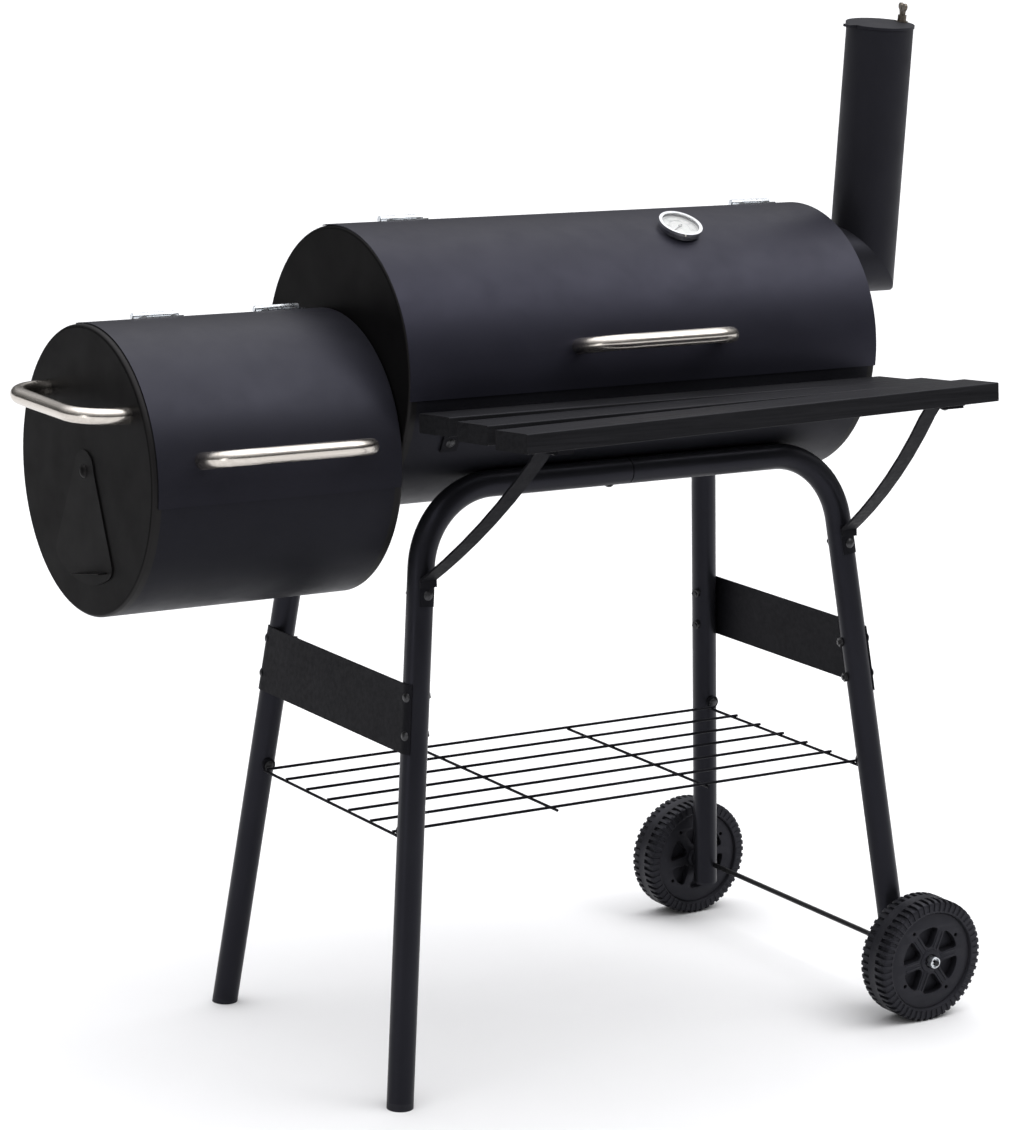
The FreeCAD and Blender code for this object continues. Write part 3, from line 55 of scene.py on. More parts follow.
# ---------------------------------------------------------------- material building blocks
class Shader:
    """One procedural material, built on object coordinates so that it stays with its piece."""

    def __init__(self, name, metallic=0.0, specular=0.5, ior=1.45, tint=(1.0, 1.0, 1.0)):
        self.material = bpy.data.materials.new(name)
        self.material.use_nodes = True
        self.tree = self.material.node_tree
        self.bsdf = self.tree.nodes["Principled BSDF"]
        self.bsdf.inputs["Metallic"].default_value = metallic
        self.bsdf.inputs["Specular IOR Level"].default_value = specular
        self.bsdf.inputs["IOR"].default_value = ior
        self.bsdf.inputs["Specular Tint"].default_value = (*tint, 1.0)
        coordinates = self.add("ShaderNodeTexCoord")
        self.place = coordinates.outputs["Object"]
        self.facing = coordinates.outputs["Normal"]
        self.normal = None

    def add(self, kind, **settings):
        node = self.tree.nodes.new(kind)
        for key, value in settings.items():
            setattr(node, key, value)
        return node

    def link(self, source, target):
        self.tree.links.new(source, target)

    def noise(self, scale, detail=3.0, rough=0.5, stretch=None, distortion=0.0):
        """Noise with a feature size of about 1/scale metres, optionally stretched along an axis."""
        node = self.add("ShaderNodeTexNoise")
        node.inputs["Scale"].default_value = scale
        node.inputs["Detail"].default_value = detail
        node.inputs["Roughness"].default_value = rough
        node.inputs["Distortion"].default_value = distortion
        self.link(self.stretched(stretch), node.inputs["Vector"])
        return node.outputs["Fac"]

    def cells(self, scale, feature="F1", output="Distance"):
        node = self.add("ShaderNodeTexVoronoi", feature=feature)
        node.inputs["Scale"].default_value = scale
        self.link(self.place, node.inputs["Vector"])
        return node.outputs[output]

    def stretched(self, stretch):
        if stretch is None:
            return self.place
        node = self.add("ShaderNodeMapping")
        node.inputs["Scale"].default_value = stretch
        self.link(self.place, node.inputs["Vector"])
        return node.outputs["Vector"]

    def spread(self, value, low, high, from_low=0.3, from_high=0.7):
        """Map a noise value onto a working range."""
        node = self.add("ShaderNodeMapRange")
        node.inputs["From Min"].default_value = from_low
        node.inputs["From Max"].default_value = from_high
        node.inputs["To Min"].default_value = low
        node.inputs["To Max"].default_value = high
        self.link(value, node.inputs["Value"])
        return node.outputs["Result"]

    def turned_to(self, axis, low, high, either_way=False):
        """0 to 1 as the surface turns to face along an axis."""
        split = self.add("ShaderNodeSeparateXYZ")
        self.link(self.facing, split.inputs["Vector"])
        part = split.outputs[axis]
        if either_way:
            size = self.add("ShaderNodeMath", operation="ABSOLUTE")
            self.link(part, size.inputs[0])
            part = size.outputs[0]
        return self.spread(part, 0.0, 1.0, low, high)

    def painted_sheen(self, value, low, high):
        """Let the coat's index run from low to high with a value; fed with which way the surface faces, it paints
        shade and highlight into the coat's reflection.
        """
        self.link(self.spread(value, low, high, 0.0, 1.0), self.bsdf.inputs["IOR"])

    def total(self, first, second, weight=1.0):
        node = self.add("ShaderNodeMath", operation="MULTIPLY_ADD")
        self.link(second, node.inputs[0])
        node.inputs[1].default_value = weight
        self.link(first, node.inputs[2])
        return node.outputs[0]

    def blend(self, value, first, second):
        """Colour that runs from first to second as value goes from 0 to 1."""
        node = self.add("ShaderNodeMix", data_type="RGBA")
        self.link(value, node.inputs["Factor"])
        for socket, colour in (("A", first), ("B", second)):
            target = [s for s in node.inputs if s.name == socket and s.type == "RGBA"][0]
            if isinstance(colour, tuple):
                target.default_value = (*colour, 1.0)
            else:
                self.link(colour, target)
        return [s for s in node.outputs if s.type == "RGBA"][0]

    def bump(self, height, distance, strength=1.0):
        """Add surface relief; distance is the relief's real depth in metres."""
        node = self.add("ShaderNodeBump")
        node.inputs["Distance"].default_value = distance
        node.inputs["Strength"].default_value = strength
        self.link(height, node.inputs["Height"])
        if self.normal is not None:
            self.link(self.normal, node.inputs["Normal"])
        self.normal = node.outputs["Normal"]

    def finish(self, colour, roughness):
        self.link(colour, self.bsdf.inputs["Base Color"])
        self.link(roughness, self.bsdf.inputs["Roughness"])
        if self.normal is not None:
            self.link(self.normal, self.bsdf.inputs["Normal"])
        return self.material


# ---------------------------------------------------------------- finishes
orange_peel = 0.00002


def coated_steel(name, dark, light, ior, rough=(0.40, 0.50), face_shade_ior=None, side_shade_ior=None,
                 tint=(0.78, 0.78, 1.0)):
    """Baked-on black coat: cloudy tone, fine orange peel, a little dust in the roughness.

    The flat-end and side indices lower the reflection on flat ends and on stretches that do not face up: painted
    shade, set by which way the surface faces.
    """
    s = Shader(name, ior=ior, tint=tint)
    # Reflection set by which way the surface faces: painted shade on flat ends and on stretches that do not face
    # up.
    if face_shade_ior is not None:
        s.painted_sheen(s.turned_to("X", 0.75, 0.95, either_way=True), ior, face_shade_ior)
    if side_shade_ior is not None:
        s.painted_sheen(s.turned_to("Z", 0.05, 0.50), side_shade_ior, ior)
    cloud = s.noise(9.0, detail=4.0)
    speck = s.noise(1500.0, detail=2.0)
    tone = s.total(s.spread(cloud, 0.0, 0.7), s.spread(speck, 0.0, 1.0), 0.3)
    handled = s.noise(26.0, detail=5.0, rough=0.6)
    s.bump(s.noise(620.0, detail=2.0, rough=0.4), orange_peel, 0.6)
    s.bump(s.noise(2600.0, detail=1.0), orange_peel * 0.35, 0.5)
    return s.finish(s.blend(tone, dark, light), s.spread(handled, *rough))


def grained_coat(name, dark, light):
    """Rougher powder coat with a pebbled surface, on brackets and plates."""
    s = Shader(name, ior=1.15, tint=(0.85, 0.85, 1.0))
    pebble = s.cells(900.0, feature="SMOOTH_F1")
    tone = s.total(s.spread(s.noise(14.0), 0.0, 0.6), s.spread(pebble, 0.4, 0.0, 0.0, 0.6))
    s.bump(pebble, 0.00012, 0.5)
    s.bump(s.noise(420.0, detail=3.0), 0.00006, 0.5)
    return s.finish(s.blend(tone, dark, light), s.spread(s.noise(180.0), 0.42, 0.56))


def brushed_steel(name, stretch):
    """Satin stainless tube, brushed along the tube with a warm cast."""
    s = Shader(name, metallic=1.0)
    s.bsdf.inputs["Anisotropic"].default_value = 0.45
    streak = s.noise(1.0, detail=6.0, rough=0.7, stretch=stretch)
    broad = s.noise(1.0, detail=3.0, stretch=tuple(0.12 * v for v in stretch))
    tone = s.total(s.spread(streak, 0.0, 0.75, 0.25, 0.75), s.spread(broad, 0.0, 0.35))
    s.bump(streak, 0.00003, 0.45)
    colour = s.blend(tone, (0.38, 0.345, 0.305), (0.70, 0.66, 0.61))
    return s.finish(colour, s.spread(streak, 0.17, 0.29))


def zinc_plate(name):
    """Bright zinc: faint crystals, soft scratches, slightly blue."""
    s = Shader(name, metallic=1.0)
    crystal = s.cells(260.0, output="Color")
    split = s.add("ShaderNodeSeparateColor")
    s.link(crystal, split.inputs["Color"])
    streak = s.noise(1.0, detail=5.0, stretch=(120.0, 1400.0, 1400.0))
    tone = s.total(s.spread(split.outputs["Red"], 0.0, 0.5, 0.0, 1.0), s.spread(streak, 0.0, 0.5))
    s.bump(streak, 0.00003, 0.5)
    colour = s.blend(tone, (0.50, 0.53, 0.56), (0.80, 0.82, 0.84))
    return s.finish(colour, s.spread(split.outputs["Green"], 0.22, 0.38, 0.0, 1.0))


def chrome(name, tint):
    """Polished plating with faint wiping marks."""
    s = Shader(name, metallic=1.0)
    wipe = s.noise(60.0, detail=5.0)
    s.bump(s.noise(900.0), 0.00001, 0.3)
    darker = tuple(0.86 * v for v in tint)
    return s.finish(s.blend(s.spread(wipe, 0.0, 1.0), darker, tint), s.spread(wipe, 0.05, 0.14))


def dark_metal(name, dark, light, rough=(0.30, 0.46)):
    """Blackened or bronzed fasteners with rubbed high spots."""
    s = Shader(name, metallic=0.85)
    rub = s.noise(320.0, detail=5.0, rough=0.65)
    s.bump(s.noise(1400.0, detail=3.0), 0.00004, 0.6)
    return s.finish(s.blend(s.spread(rub, 0.0, 1.0), dark, light), s.spread(rub, *rough))


def painted_slat(name):
    """Black stained board: long open grain with fine pores along the length."""
    s = Shader(name, tint=(0.82, 0.82, 1.0))
    # Board tops reflect more than the front faces: painted shade on the faces, set by which way the surface faces.
    s.painted_sheen(s.turned_to("Z", 0.5, 0.9), 1.10, 1.23)
    grain = s.noise(1.0, detail=6.0, rough=0.6, stretch=(7.0, 260.0, 260.0), distortion=0.5)
    pores = s.noise(1.0, detail=3.0, rough=0.6, stretch=(40.0, 1500.0, 1500.0))
    tone = s.total(s.spread(grain, 0.0, 0.75), s.spread(pores, 0.0, 0.25))
    s.bump(grain, 0.00022, 0.6)
    s.bump(pores, 0.00008, 0.6)
    return s.finish(s.blend(tone, (0.0065, 0.0066, 0.0072), (0.017, 0.017, 0.0185)),
                    s.spread(grain, 0.36, 0.52))


def moulded_plastic(name, dark, light, rough=(0.42, 0.58)):
    """Injection-moulded black plastic with a fine spark-eroded texture."""
    s = Shader(name, ior=1.32, tint=(0.84, 0.84, 1.0))
    flow = s.noise(30.0, detail=4.0, distortion=0.8)
    pit = s.noise(1700.0, detail=2.0)
    s.bump(pit, 0.00005, 0.5)
    s.bump(s.noise(240.0, detail=2.0), 0.00004, 0.4)
    return s.finish(s.blend(s.spread(flow, 0.0, 1.0), dark, light), s.spread(pit, *rough))


def dial_print(name):
    """Warm white dial paper under the glass, very slightly mottled."""
    s = Shader(name, specular=0.4)
    fibre = s.noise(1600.0, detail=3.0)
    stain = s.noise(120.0, detail=3.0)
    tone = s.total(s.spread(stain, 0.0, 0.6), s.spread(fibre, 0.0, 0.4))
    s.bump(fibre, 0.00002, 0.3)
    return s.finish(s.blend(tone, (0.72, 0.72, 0.70), (0.84, 0.84, 0.82)),
                    s.spread(fibre, 0.35, 0.5))


def dial_ink(name, dark, light):
    """Matt print or paint on the dial, slightly flecked."""
    s = Shader(name, specular=0.3)
    fleck = s.noise(2200.0, detail=3.0)
    return s.finish(s.blend(s.spread(fleck, 0.0, 1.0), dark, light), s.spread(fleck, 0.45, 0.6))


def clear_lens(name):
    """Clear glass with a faint green cast and light smears."""
    s = Shader(name, ior=1.46)
    s.bsdf.inputs["Transmission Weight"].default_value = 1.0
    smear = s.noise(140.0, detail=4.0)
    tone = s.blend(s.spread(smear, 0.0, 1.0), (0.97, 0.985, 0.98), (1.0, 1.0, 1.0))
    return s.finish(tone, s.spread(smear, 0.0, 0.03))


def seasoned_iron(name, dark, light, rough):
    """Enamelled or seasoned grate rods, with burnt patches."""
    s = Shader(name, specular=0.4)
    burn = s.noise(45.0, detail=6.0, rough=0.65)
    s.bump(s.noise(700.0, detail=3.0), 0.00012, 0.6)
    return s.finish(s.blend(s.spread(burn, 0.0, 1.0), dark, light), s.spread(burn, *rough))


def floor_card(name):
    """Matt pale studio floor, barely mottled."""
    s = Shader(name, specular=0.2)
    mottle = s.noise(3.0, detail=5.0)
    return s.finish(s.blend(s.spread(mottle, 0.0, 1.0), (0.79, 0.79, 0.79), (0.80, 0.80, 0.80)),
                    s.spread(mottle, 0.75, 0.85))


finishes = {
    "black_sheet": coated_steel("black_sheet", (0.0068, 0.0068, 0.0096), (0.0106, 0.0106, 0.0150),
                                ior=1.345, tint=(0.72, 0.71, 1.0)),
    # Firebox lid: the lids' coat with a higher index on top and a lower one on its sides: painted highlight and
    # painted shade.
    "black_lid_small_painted_light": coated_steel("black_lid_small_painted_light", (0.0068, 0.0068, 0.0090),
                                    (0.0106, 0.0106, 0.0142), ior=1.37, side_shade_ior=1.20),
    # Lower bodies: the lids' coat, darker, with less reflection on stretches that do not face up: painted shade.
    "black_body_painted_shade": coated_steel("black_body_painted_shade", (0.0050, 0.0051, 0.0064), (0.0085, 0.0086, 0.0108),
                               ior=1.345, side_shade_ior=1.21),
    # End caps: the lids' coat, far darker, with a low index that drops further on the flat ends: painted shade.
    "black_cap": coated_steel("black_cap", (0.0026, 0.0025, 0.0026), (0.0046, 0.0044, 0.0045),
                              rough=(0.42, 0.52), ior=1.26, face_shade_ior=1.10, tint=(1.0, 0.96, 0.97)),
    "black_chimney": coated_steel("black_chimney", (0.0062, 0.0062, 0.0072), (0.0100, 0.0100, 0.0118),
                                  rough=(0.46, 0.58), ior=1.28),
    "black_tube": coated_steel("black_tube", (0.0062, 0.0062, 0.0075), (0.0105, 0.0107, 0.0125),
                               rough=(0.30, 0.40), ior=1.26),
    "black_plate": grained_coat("black_plate", (0.0045, 0.0045, 0.0054), (0.0090, 0.0090, 0.0106)),
    "black_wire": coated_steel("black_wire", (0.0028, 0.0028, 0.0034), (0.0055, 0.0055, 0.0066),
                               rough=(0.30, 0.42), ior=1.16),
    # Damper: the end caps' darkened copy of the coat: painted shade.
    "black_damper": coated_steel("black_damper", (0.0024, 0.0023, 0.0024), (0.0045, 0.0043, 0.0044),
                                 rough=(0.42, 0.52), ior=1.24, face_shade_ior=1.115, tint=(1.0, 0.96, 0.97)),
    "slat_wood": painted_slat("slat_wood"),
    "dark_bronze": dark_metal("dark_bronze", (0.060, 0.050, 0.040), (0.17, 0.145, 0.12)),
    "dark_fastener": dark_metal("dark_fastener", (0.018, 0.018, 0.019), (0.065, 0.065, 0.068)),
    "dark_axle": dark_metal("dark_axle", (0.010, 0.010, 0.011), (0.030, 0.030, 0.032)),
    "zinc": zinc_plate("zinc"),
    "brushed_stainless": brushed_steel("brushed_stainless", (22.0, 1500.0, 1500.0)),
    "chrome_trim": chrome("chrome_trim", (0.80, 0.81, 0.83)),
    # Thermometer case: the plating at half the trim's brightness: painted shade in its reflections.
    "chrome_case_painted_shade": chrome("chrome_case_painted_shade", (0.40, 0.40, 0.42)),
    "grate_chrome": chrome("grate_chrome", (0.55, 0.54, 0.52)),
    "grate_black": seasoned_iron("grate_black", (0.008, 0.008, 0.008), (0.03, 0.028, 0.026),
                                 (0.45, 0.7)),
    "dial_face": dial_print("dial_face"),
    "needle_black": dial_ink("needle_black", (0.17, 0.17, 0.17), (0.24, 0.24, 0.24)),
    "dial_face_ink": dial_ink("dial_face_ink", (0.28, 0.28, 0.28), (0.40, 0.40, 0.40)),
    "clear_glass": clear_lens("clear_glass"),
    "black_plastic": moulded_plastic("black_plastic", (0.0078, 0.0078, 0.0094), (0.0128, 0.0128, 0.0152)),
}
# The end handle's grip runs across the barrel, so its brushing does too
end_handle_finish = brushed_steel("brushed_stainless_across", (1500.0, 22.0, 1500.0))

# Nodes that look a little different from the rest of their material slot; the bodies, the firebox lid and the
# thermometer case get copies of their finish with painted shade and highlight.
own_finish = {
    "end_handle": end_handle_finish,
    "main_body": finishes["black_body_painted_shade"],
    "firebox_body": finishes["black_body_painted_shade"],
    "firebox_lid": finishes["black_lid_small_painted_light"],
    "damper_pivot_screw": finishes["black_damper"],
    "axle": finishes["dark_axle"],
    "thermometer_case": finishes["chrome_case_painted_shade"],
}
for entry in frame["record"]["subparts"]:
    mesh = nodes[entry["node"]].data
    mesh.materials.clear()
    mesh.materials.append(own_finish.get(entry["node"], finishes[entry["material_slot"]]))


# ---------------------------------------------------------------- mesh helpers
def ring_rows(bm, rows, closed=True):
    """Skin a stack of point rows; closed rows run right round."""
    loops = [[bm.verts.new(point) for point in row] for row in rows]
    count = len(rows[0])
    for low, high in zip(loops, loops[1:]):
        for i in range(count if closed else count - 1):
            j = (i + 1) % count
            bm.faces.new((low[i], low[j], high[j], high[i]))


def finish_mesh(bm, name, sharp_degrees=32.0):
    bmesh.ops.remove_doubles(bm, verts=bm.verts, dist=1e-6)
    bmesh.ops.recalc_face_normals(bm, faces=bm.faces)
    mesh = bpy.data.meshes.new(name)
    bm.to_mesh(mesh)
    bm.free()
    mesh.shade_smooth()
    mesh.set_sharp_from_angle(angle=math.radians(sharp_degrees))
    return mesh


def add_piece(name, mesh, body, slot, finish=None):
    mesh.materials.clear()
    mesh.materials.append(finishes[finish or slot])
    piece = bpy.data.objects.new(name, mesh)
    bpy.context.scene.collection.objects.link(piece)
    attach(piece, body)
    return piece


def softened(points, rounds=3):
    """Round the corners of a closed outline by repeated corner cutting."""
    for _ in range(rounds):
        cut = []
        for a, b in zip(points, points[1:] + points[:1]):
            cut.append(a.lerp(b, 0.25))
            cut.append(a.lerp(b, 0.75))
        points = cut
    return points


def polar(r, degrees):
    return Vector((r * math.cos(math.radians(degrees)), r * math.sin(math.radians(degrees)), 0.0))


def pierced_plate(name, outlines, low, high, bevel):
    """Flat plate between two heights, cut by the inner outlines, with rounded edges."""
    curve = bpy.data.curves.new(name, "CURVE")
    curve.dimensions = "2D"
    curve.fill_mode = "BOTH"
    curve.extrude = (high - low) / 2.0 - bevel
    curve.bevel_depth = bevel
    curve.bevel_resolution = 2
    curve.offset = -bevel
    for outline in outlines:
        spline = curve.splines.new("POLY")
        spline.points.add(len(outline) - 1)
        spline.use_cyclic_u = True
        for point, co in zip(spline.points, outline):
            point.co = (co.x, co.y, 0.0, 1.0)
    holder = bpy.data.objects.new(name, curve)
    bpy.context.scene.collection.objects.link(holder)
    bpy.context.view_layer.update()
    made = bpy.data.meshes.new_from_object(holder.evaluated_get(
        bpy.context.evaluated_depsgraph_get()))
    bpy.data.objects.remove(holder)
    made.transform(Matrix.Translation((0.0, 0.0, (low + high) / 2.0)))
    return made


# ---------------------------------------------------------------- moulded wheels
wheel_r = 0.071
lug_count = 52
lug_steps = (0.03, 0.25, 0.47, 0.53, 0.75, 0.97)
round_steps = 96
spoke_count = 6
spoke_turn = 8.7
spoke_half_width = 0.0048
spoke_ridge_offset = 0.0027
hole_count = 4
hole_turn = 36.0
hole_reach = 0.0433
hole_r = 0.0022
web_r = 0.0556
web_hub_r = 0.0125
pocket_inner_r = 0.0165
pocket_middle_r = 0.0280
pocket_outer_r = 0.0390
pocket_crown_r = 0.0396
web_top = 0.0396
web_floor = 0.0300
back_top = 0.0036
back_floor = 0.0125
plate_lap = 0.001
moulded_edge = 0.0004


def circle(r, steps, height=0.0):
    return [polar(r, k * 360.0 / steps) + Vector((0.0, 0.0, height)) for k in range(steps)]


def web_outlines():
    """Rim, hub, pockets and small holes of the wheel's flat web."""
    outlines = [circle(web_r, round_steps), circle(web_hub_r, round_steps // 2)]
    pocket_half = 180.0 / spoke_count
    for spoke in range(spoke_count):
        middle = spoke_turn + pocket_half + spoke * 2.0 * pocket_half
        lean_in = pocket_half - math.degrees(math.asin(spoke_half_width / pocket_inner_r))
        lean_out = pocket_half - math.degrees(math.asin(spoke_half_width / pocket_outer_r))
        corners = [polar(pocket_inner_r, middle - lean_in),
                   polar(pocket_middle_r, middle - lean_out + 4.0),
                   polar(pocket_outer_r, middle - lean_out), polar(pocket_crown_r, middle - 8.0),
                   polar(pocket_crown_r, middle + 8.0), polar(pocket_outer_r, middle + lean_out),
                   polar(pocket_middle_r, middle + lean_out - 4.0),
                   polar(pocket_inner_r, middle + lean_in)]
        outlines.append(softened(corners))
    for index in range(hole_count):
        centre = polar(hole_reach, hole_turn + index * 360.0 / hole_count)
        outlines.append([centre + point for point in circle(hole_r, 16)])
    return outlines


def add_spoke_ridges(bm):
    """Two low ridges along each spoke."""
    section = [(-0.0009, -0.0006), (-0.0007, 0.0006), (-0.0003, 0.001), (0.0003, 0.001),
               (0.0007, 0.0006), (0.0009, -0.0006)]
    stations = ((0.0143, 0.3), (0.0155, 1.0), (0.0350, 1.0), (0.0362, 0.3))
    for spoke in range(spoke_count):
        turn = Matrix.Rotation(math.radians(spoke_turn + spoke * 360.0 / spoke_count), 3, "Z")
        for offset in (-spoke_ridge_offset, spoke_ridge_offset):
            ring_rows(bm, [[turn @ Vector((reach, offset + across * swell, web_top + up * swell))
                            for across, up in section] for reach, swell in stations])


def wheel_mesh(name):
    """Wheel about local Z, inner face at z = 0: tread, ribbed wall, pocketed web, spokes, hub."""
    # radius, height, how far a gap drops inwards and downwards, and which lug row it belongs to
    tyre = [
        (0.0557, 0.0044, 0.0, 0.0, 0), (0.0561, 0.0036, 0.0, 0.0, 0), (0.0566, 0.0018, 0.0, 0.0, 0),
        (0.0572, 0.0006, 0.0, 0.0, 0), (0.0584, 0.0002, 0.0, 0.0, 0),
        (0.0592, 0.0002, 0.0, -0.0010, 0), (0.0655, 0.0003, 0.0, -0.0011, 0),
        (0.0680, 0.0006, 0.0008, -0.0010, 0), (0.0694, 0.0014, 0.0016, -0.0006, 0),
        (0.0706, 0.0034, 0.0026, 0.0, 0), (wheel_r, 0.0052, 0.0028, 0.0, 0),
        (wheel_r, 0.0150, 0.0028, 0.0, 0), (0.0709, 0.0156, 0.0, 0.0, 0),
        (0.0707, 0.0165, 0.0, 0.0, 0), (0.0707, 0.0265, 0.0, 0.0, 0), (0.0709, 0.0274, 0.0, 0.0, 1),
        (wheel_r, 0.0280, 0.0028, 0.0, 1), (wheel_r, 0.0376, 0.0028, 0.0, 1),
        (0.0706, 0.0396, 0.0026, 0.0, 1), (0.0694, 0.0416, 0.0016, 0.0008, 1),
        (0.0680, 0.0424, 0.0008, 0.0012, 1), (0.0655, 0.0428, 0.0, 0.0013, 1),
        (0.0592, 0.0429, 0.0, 0.0012, 1), (0.0584, 0.0429, 0.0, 0.0, 1),
        (0.0572, 0.0426, 0.0, 0.0, 1), (0.0566, 0.0414, 0.0, 0.0, 1), (0.0561, 0.0396, 0.0, 0.0, 1),
        (0.0557, 0.0388, 0.0, 0.0, 1), (0.0552, 0.0391, 0.0, 0.0, 1)]
    bm = bmesh.new()
    rows = []
    for r, height, drop_in, drop_down, lug_row in tyre:
        row = []
        for lug in range(lug_count):
            for share in lug_steps:
                gap = (share < 0.5) == (lug_row == 1)
                angle = (lug + share) * 360.0 / lug_count
                point = polar(r - (drop_in if gap else 0.0), angle)
                point.z = height - (drop_down if gap else 0.0)
                row.append(point)
        rows.append(row)
    ring_rows(bm, rows)
    turned = [
        [(0.0565, back_floor), (0.0120, back_floor)],
        [(0.0130, back_top + 0.0006), (0.0112, 0.0012), (0.0108, 0.0004), (0.0100, 0.0),
         (0.0034, 0.0)],
        [(0.0565, web_floor), (0.0120, web_floor)],
        [(0.0140, web_top - 0.0006), (0.0134, web_top + 0.0007), (0.0122, web_top + 0.0012),
         (0.0086, web_top + 0.0012), (0.0078, web_top + 0.0006), (0.0074, web_top - 0.0016),
         (0.0032, web_top - 0.0016), (0.0031, 0.0270)]]
    for profile in turned:
        ring_rows(bm, [circle(r, round_steps, height) for r, height in profile])
    add_spoke_ridges(bm)
    wheel = finish_mesh(bm, name)

    outlines = web_outlines()
    both = bmesh.new()
    both.from_mesh(wheel)
    both.from_mesh(pierced_plate(name + "_web", outlines, web_floor - plate_lap, web_top,
                                 moulded_edge))
    both.from_mesh(pierced_plate(name + "_back", outlines, back_top, back_floor + plate_lap,
                                 moulded_edge))
    return finish_mesh(both, name)


def place_wheel(name, side):
    """Stand the wheel on its axle; side is -1 in front and 1 behind."""
    low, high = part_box(name)
    hub = (low + high) / 2.0
    inner = high.y if side < 0 else low.y
    mesh = wheel_mesh(name + "_moulding")
    across = Vector((1.0, 0.0, 0.0))
    out = Vector((0.0, side, 0.0))
    up = Vector((0.0, 0.0, 1.0))
    stand = Matrix((across, up, out)).transposed().to_4x4()
    mesh.transform(Matrix.Translation((hub.x, inner, hub.z)) @ stand)
    if stand.determinant() < 0.0:
        mesh.flip_normals()
    piece = add_piece(name + "_moulding", mesh, name, "black_plastic")
    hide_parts(name)


place_wheel("front_wheel", -1.0)
place_wheel("rear_wheel", 1.0)


# ---------------------------------------------------------------- printed thermometer dial
dial_below_joint = 0.00105
scale_r = 0.0196
inner_ring_r = 0.0112
ring_line = 0.0003
number_r = 0.0143
number_size = 0.0022
zone_r = 0.0119
zone_width = 0.0009
scale_start, scale_end = 215.0, -35.0
scale_marks = 25
marks_per_number = 5
degrees_per_mark = 20
needle_joint = joints["thermometer_needle_turn"]
dial_out = -Vector(needle_joint["axis"]).normalized()
dial_across = Vector((1.0, 0.0, 0.0))
dial_up = dial_out.cross(dial_across)
dial_middle = Vector(needle_joint["pos_m"]) - dial_out * dial_below_joint


def dial_point(r, degrees):
    flat = polar(r, degrees)
    return dial_middle + dial_across * flat.x + dial_up * flat.y


def dial_arc(bm, inner, outer, start, end, steps):
    rows = [[dial_point(r, start + (end - start) * k / steps) for k in range(steps + 1)]
            for r in (inner, outer)]
    ring_rows(bm, rows, closed=False)


def dial_stroke(bm, first, last, width):
    along = (last - first).normalized()
    side = dial_out.cross(along) * (width / 2.0)
    bm.faces.new([bm.verts.new(p) for p in (first - side, last - side, last + side, first + side)])


digit_strokes = {
    "0": ((0, 0, 0, 2), (0, 2, 1, 2), (1, 2, 1, 0), (1, 0, 0, 0)),
    "1": ((0.5, 0, 0.5, 2),),
    "2": ((0, 2, 1, 2), (1, 2, 1, 1), (1, 1, 0, 1), (0, 1, 0, 0), (0, 0, 1, 0)),
    "3": ((0, 2, 1, 2), (1, 2, 1, 0), (1, 0, 0, 0), (0, 1, 1, 1)),
    "4": ((0, 2, 0, 1), (0, 1, 1, 1), (1, 2, 1, 0)),
    "5": ((1, 2, 0, 2), (0, 2, 0, 1), (0, 1, 1, 1), (1, 1, 1, 0), (1, 0, 0, 0)),
}


def dial_number(bm, text, r, degrees, size, width):
    """Write a number upright at a place on the dial, built from straight strokes."""
    centre = dial_point(r, degrees)
    span = len(text) * size * 0.75 - size * 0.25
    for index, digit in enumerate(text):
        corner = centre - dial_across * (span / 2.0 - index * size * 0.75) - dial_up * (size / 2.0)
        for x0, y0, x1, y1 in digit_strokes[digit]:
            ends = [corner + dial_across * (x * size * 0.5) + dial_up * (y * size * 0.5)
                    for x, y in ((x0, y0), (x1, y1))]
            dial_stroke(bm, ends[0], ends[1], width)


bm = bmesh.new()
dial_arc(bm, scale_r, scale_r + ring_line, scale_start, scale_end, 60)
dial_arc(bm, inner_ring_r, inner_ring_r + ring_line, scale_start, scale_end, 60)
for mark in range(scale_marks + 1):
    angle = scale_start + (scale_end - scale_start) * mark / scale_marks
    numbered = mark % marks_per_number == 0
    inner = 0.0170 if numbered else 0.0182
    width = 0.0004 if numbered else 0.0002
    dial_stroke(bm, dial_point(inner, angle), dial_point(scale_r, angle), width)
    if numbered:
        dial_number(bm, str(mark * degrees_per_mark), number_r, angle, number_size, ring_line)
# short unit mark under the middle
dial_stroke(bm, dial_point(0.0045, 262.0), dial_point(0.0045, 278.0), 0.0006)
add_piece("dial_scale", finish_mesh(bm, "dial_scale"), "main_lid", "dial_face", "dial_face_ink")

bm = bmesh.new()
dial_arc(bm, zone_r, zone_r + zone_width, 130.0, 50.0, 30)
add_piece("dial_zone", finish_mesh(bm, "dial_zone"), "main_lid", "dial_face", "dial_face_ink")


# ---------------------------------------------------------------- studio
floor_mesh = bpy.data.meshes.new("studio_floor")
floor_half = 60.0
corners = [(-floor_half, -floor_half, 0.0), (floor_half, -floor_half, 0.0),
           (floor_half, floor_half, 0.0), (-floor_half, floor_half, 0.0)]
floor_mesh.from_pydata(corners, [], [(0, 1, 2, 3)])
floor_mesh.materials.append(floor_card("studio_floor"))
studio_floor = bpy.data.objects.new("studio_floor", floor_mesh)
bpy.context.scene.collection.objects.link(studio_floor)


def soft_box(name, place, target, width, height, power):
    light = bpy.data.lights.new(name, "AREA")
    light.shape = "RECTANGLE"
    light.size = width
    light.size_y = height
    light.energy = power
    holder = bpy.data.objects.new(name, light)
    holder.location = place
    direction = Vector(target) - Vector(place)
    holder.rotation_mode = "QUATERNION"
    holder.rotation_quaternion = direction.to_track_quat("-Z", "Y")
    bpy.context.scene.collection.objects.link(holder)


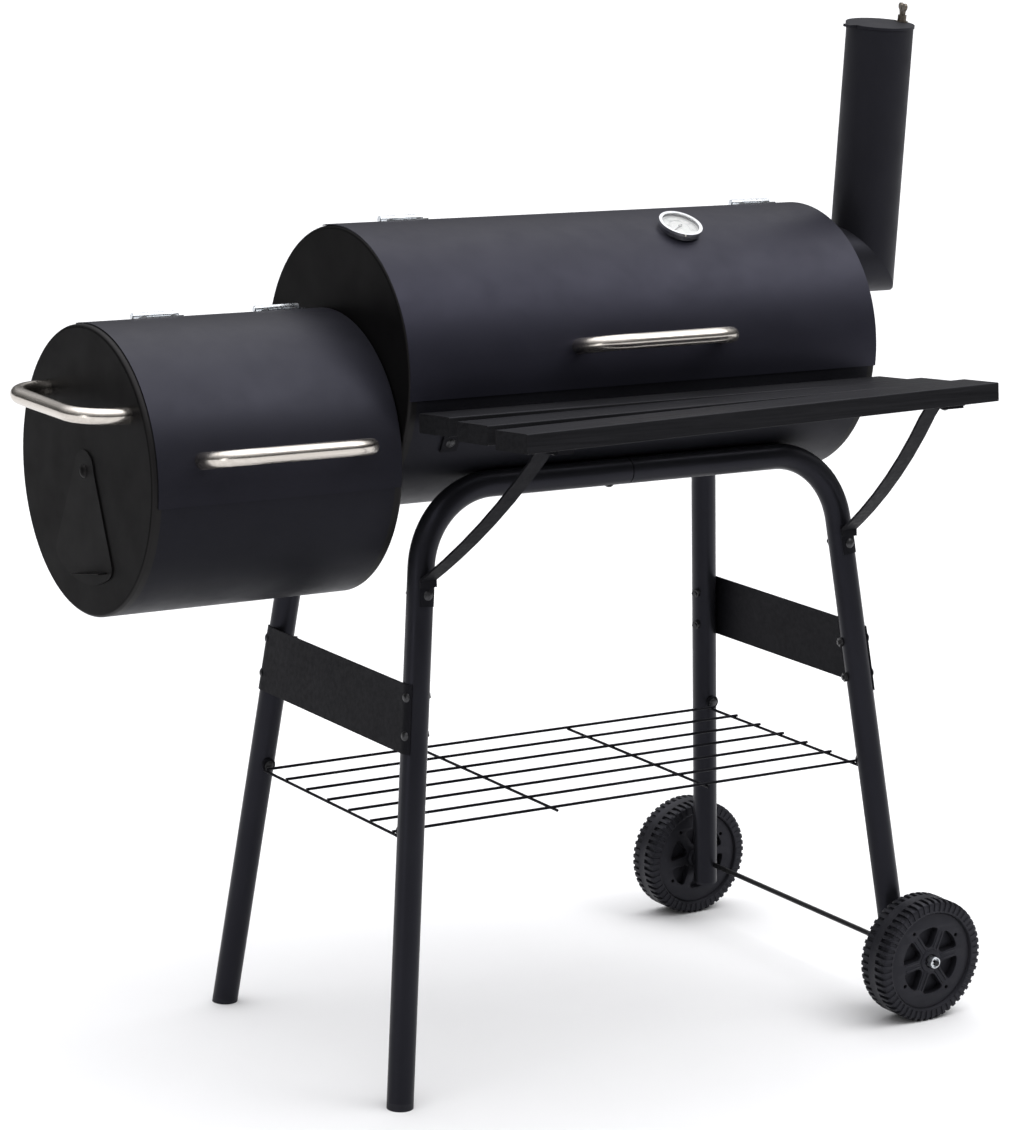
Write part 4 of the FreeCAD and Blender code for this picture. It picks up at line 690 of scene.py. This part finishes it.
soft_box("overhead", (2.2, -1.4, 3.3), (0.3, 0.0, 0.8), 2.4, 1.6, 34.0)
soft_box("left_strip", (-3.6, -1.1, 0.9), (0.0, 0.0, 0.6), 0.5, 1.6, 8.0)

world = bpy.data.worlds.new("studio_world")
bpy.context.scene.world = world
world.use_nodes = True
tree = world.node_tree
background = tree.nodes["Background"]
sky_place = tree.nodes.new("ShaderNodeTexCoord")
sky_split = tree.nodes.new("ShaderNodeSeparateXYZ")
sky_ramp = tree.nodes.new("ShaderNodeValToRGB")
tree.links.new(sky_place.outputs["Generated"], sky_split.inputs["Vector"])
tree.links.new(sky_split.outputs["Z"], sky_ramp.inputs["Fac"])
tree.links.new(sky_ramp.outputs["Color"], background.inputs["Color"])
sky_steps = ((0.0, 0.02), (0.28, 0.06), (0.60, 0.30), (0.86, 1.0))
for (position, value), element in zip(sky_steps[:2], sky_ramp.color_ramp.elements):
    element.position = position
    element.color = (value, value, value, 1.0)
for position, value in sky_steps[2:]:
    element = sky_ramp.color_ramp.elements.new(position)
    element.color = (value, value, 1.02 * value, 1.0)
background.inputs["Strength"].default_value = 2.7
bpy.context.scene.view_settings.view_transform = "Standard"

# ---------------------------------------------------------------- camera
camera_data = bpy.data.cameras.new("camera")
camera_data.sensor_fit = "HORIZONTAL"
camera_data.sensor_width = 36.0
camera_data.lens = 127.37
camera_data.clip_end = 200.0
camera = bpy.data.objects.new("camera", camera_data)
bpy.context.scene.collection.objects.link(camera)
bpy.context.scene.camera = camera
camera_yaw, camera_pitch, camera_roll = -33.072, 12.188, 1.583
cap_low, cap_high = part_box("main_left_end_cap")
barrel_end = Vector((cap_low.x, (cap_low.y + cap_high.y) / 2.0, 0.0))
camera.location = barrel_end + Vector((-1.87819, -3.22384, 1.35290))
aim = (Matrix.Rotation(math.radians(camera_yaw), 4, "Z")
       @ Matrix.Rotation(math.radians(90.0 - camera_pitch), 4, "X")
       @ Matrix.Rotation(math.radians(camera_roll), 4, "Z"))
camera.rotation_mode = "QUATERNION"
camera.rotation_quaternion = aim.to_quaternion()
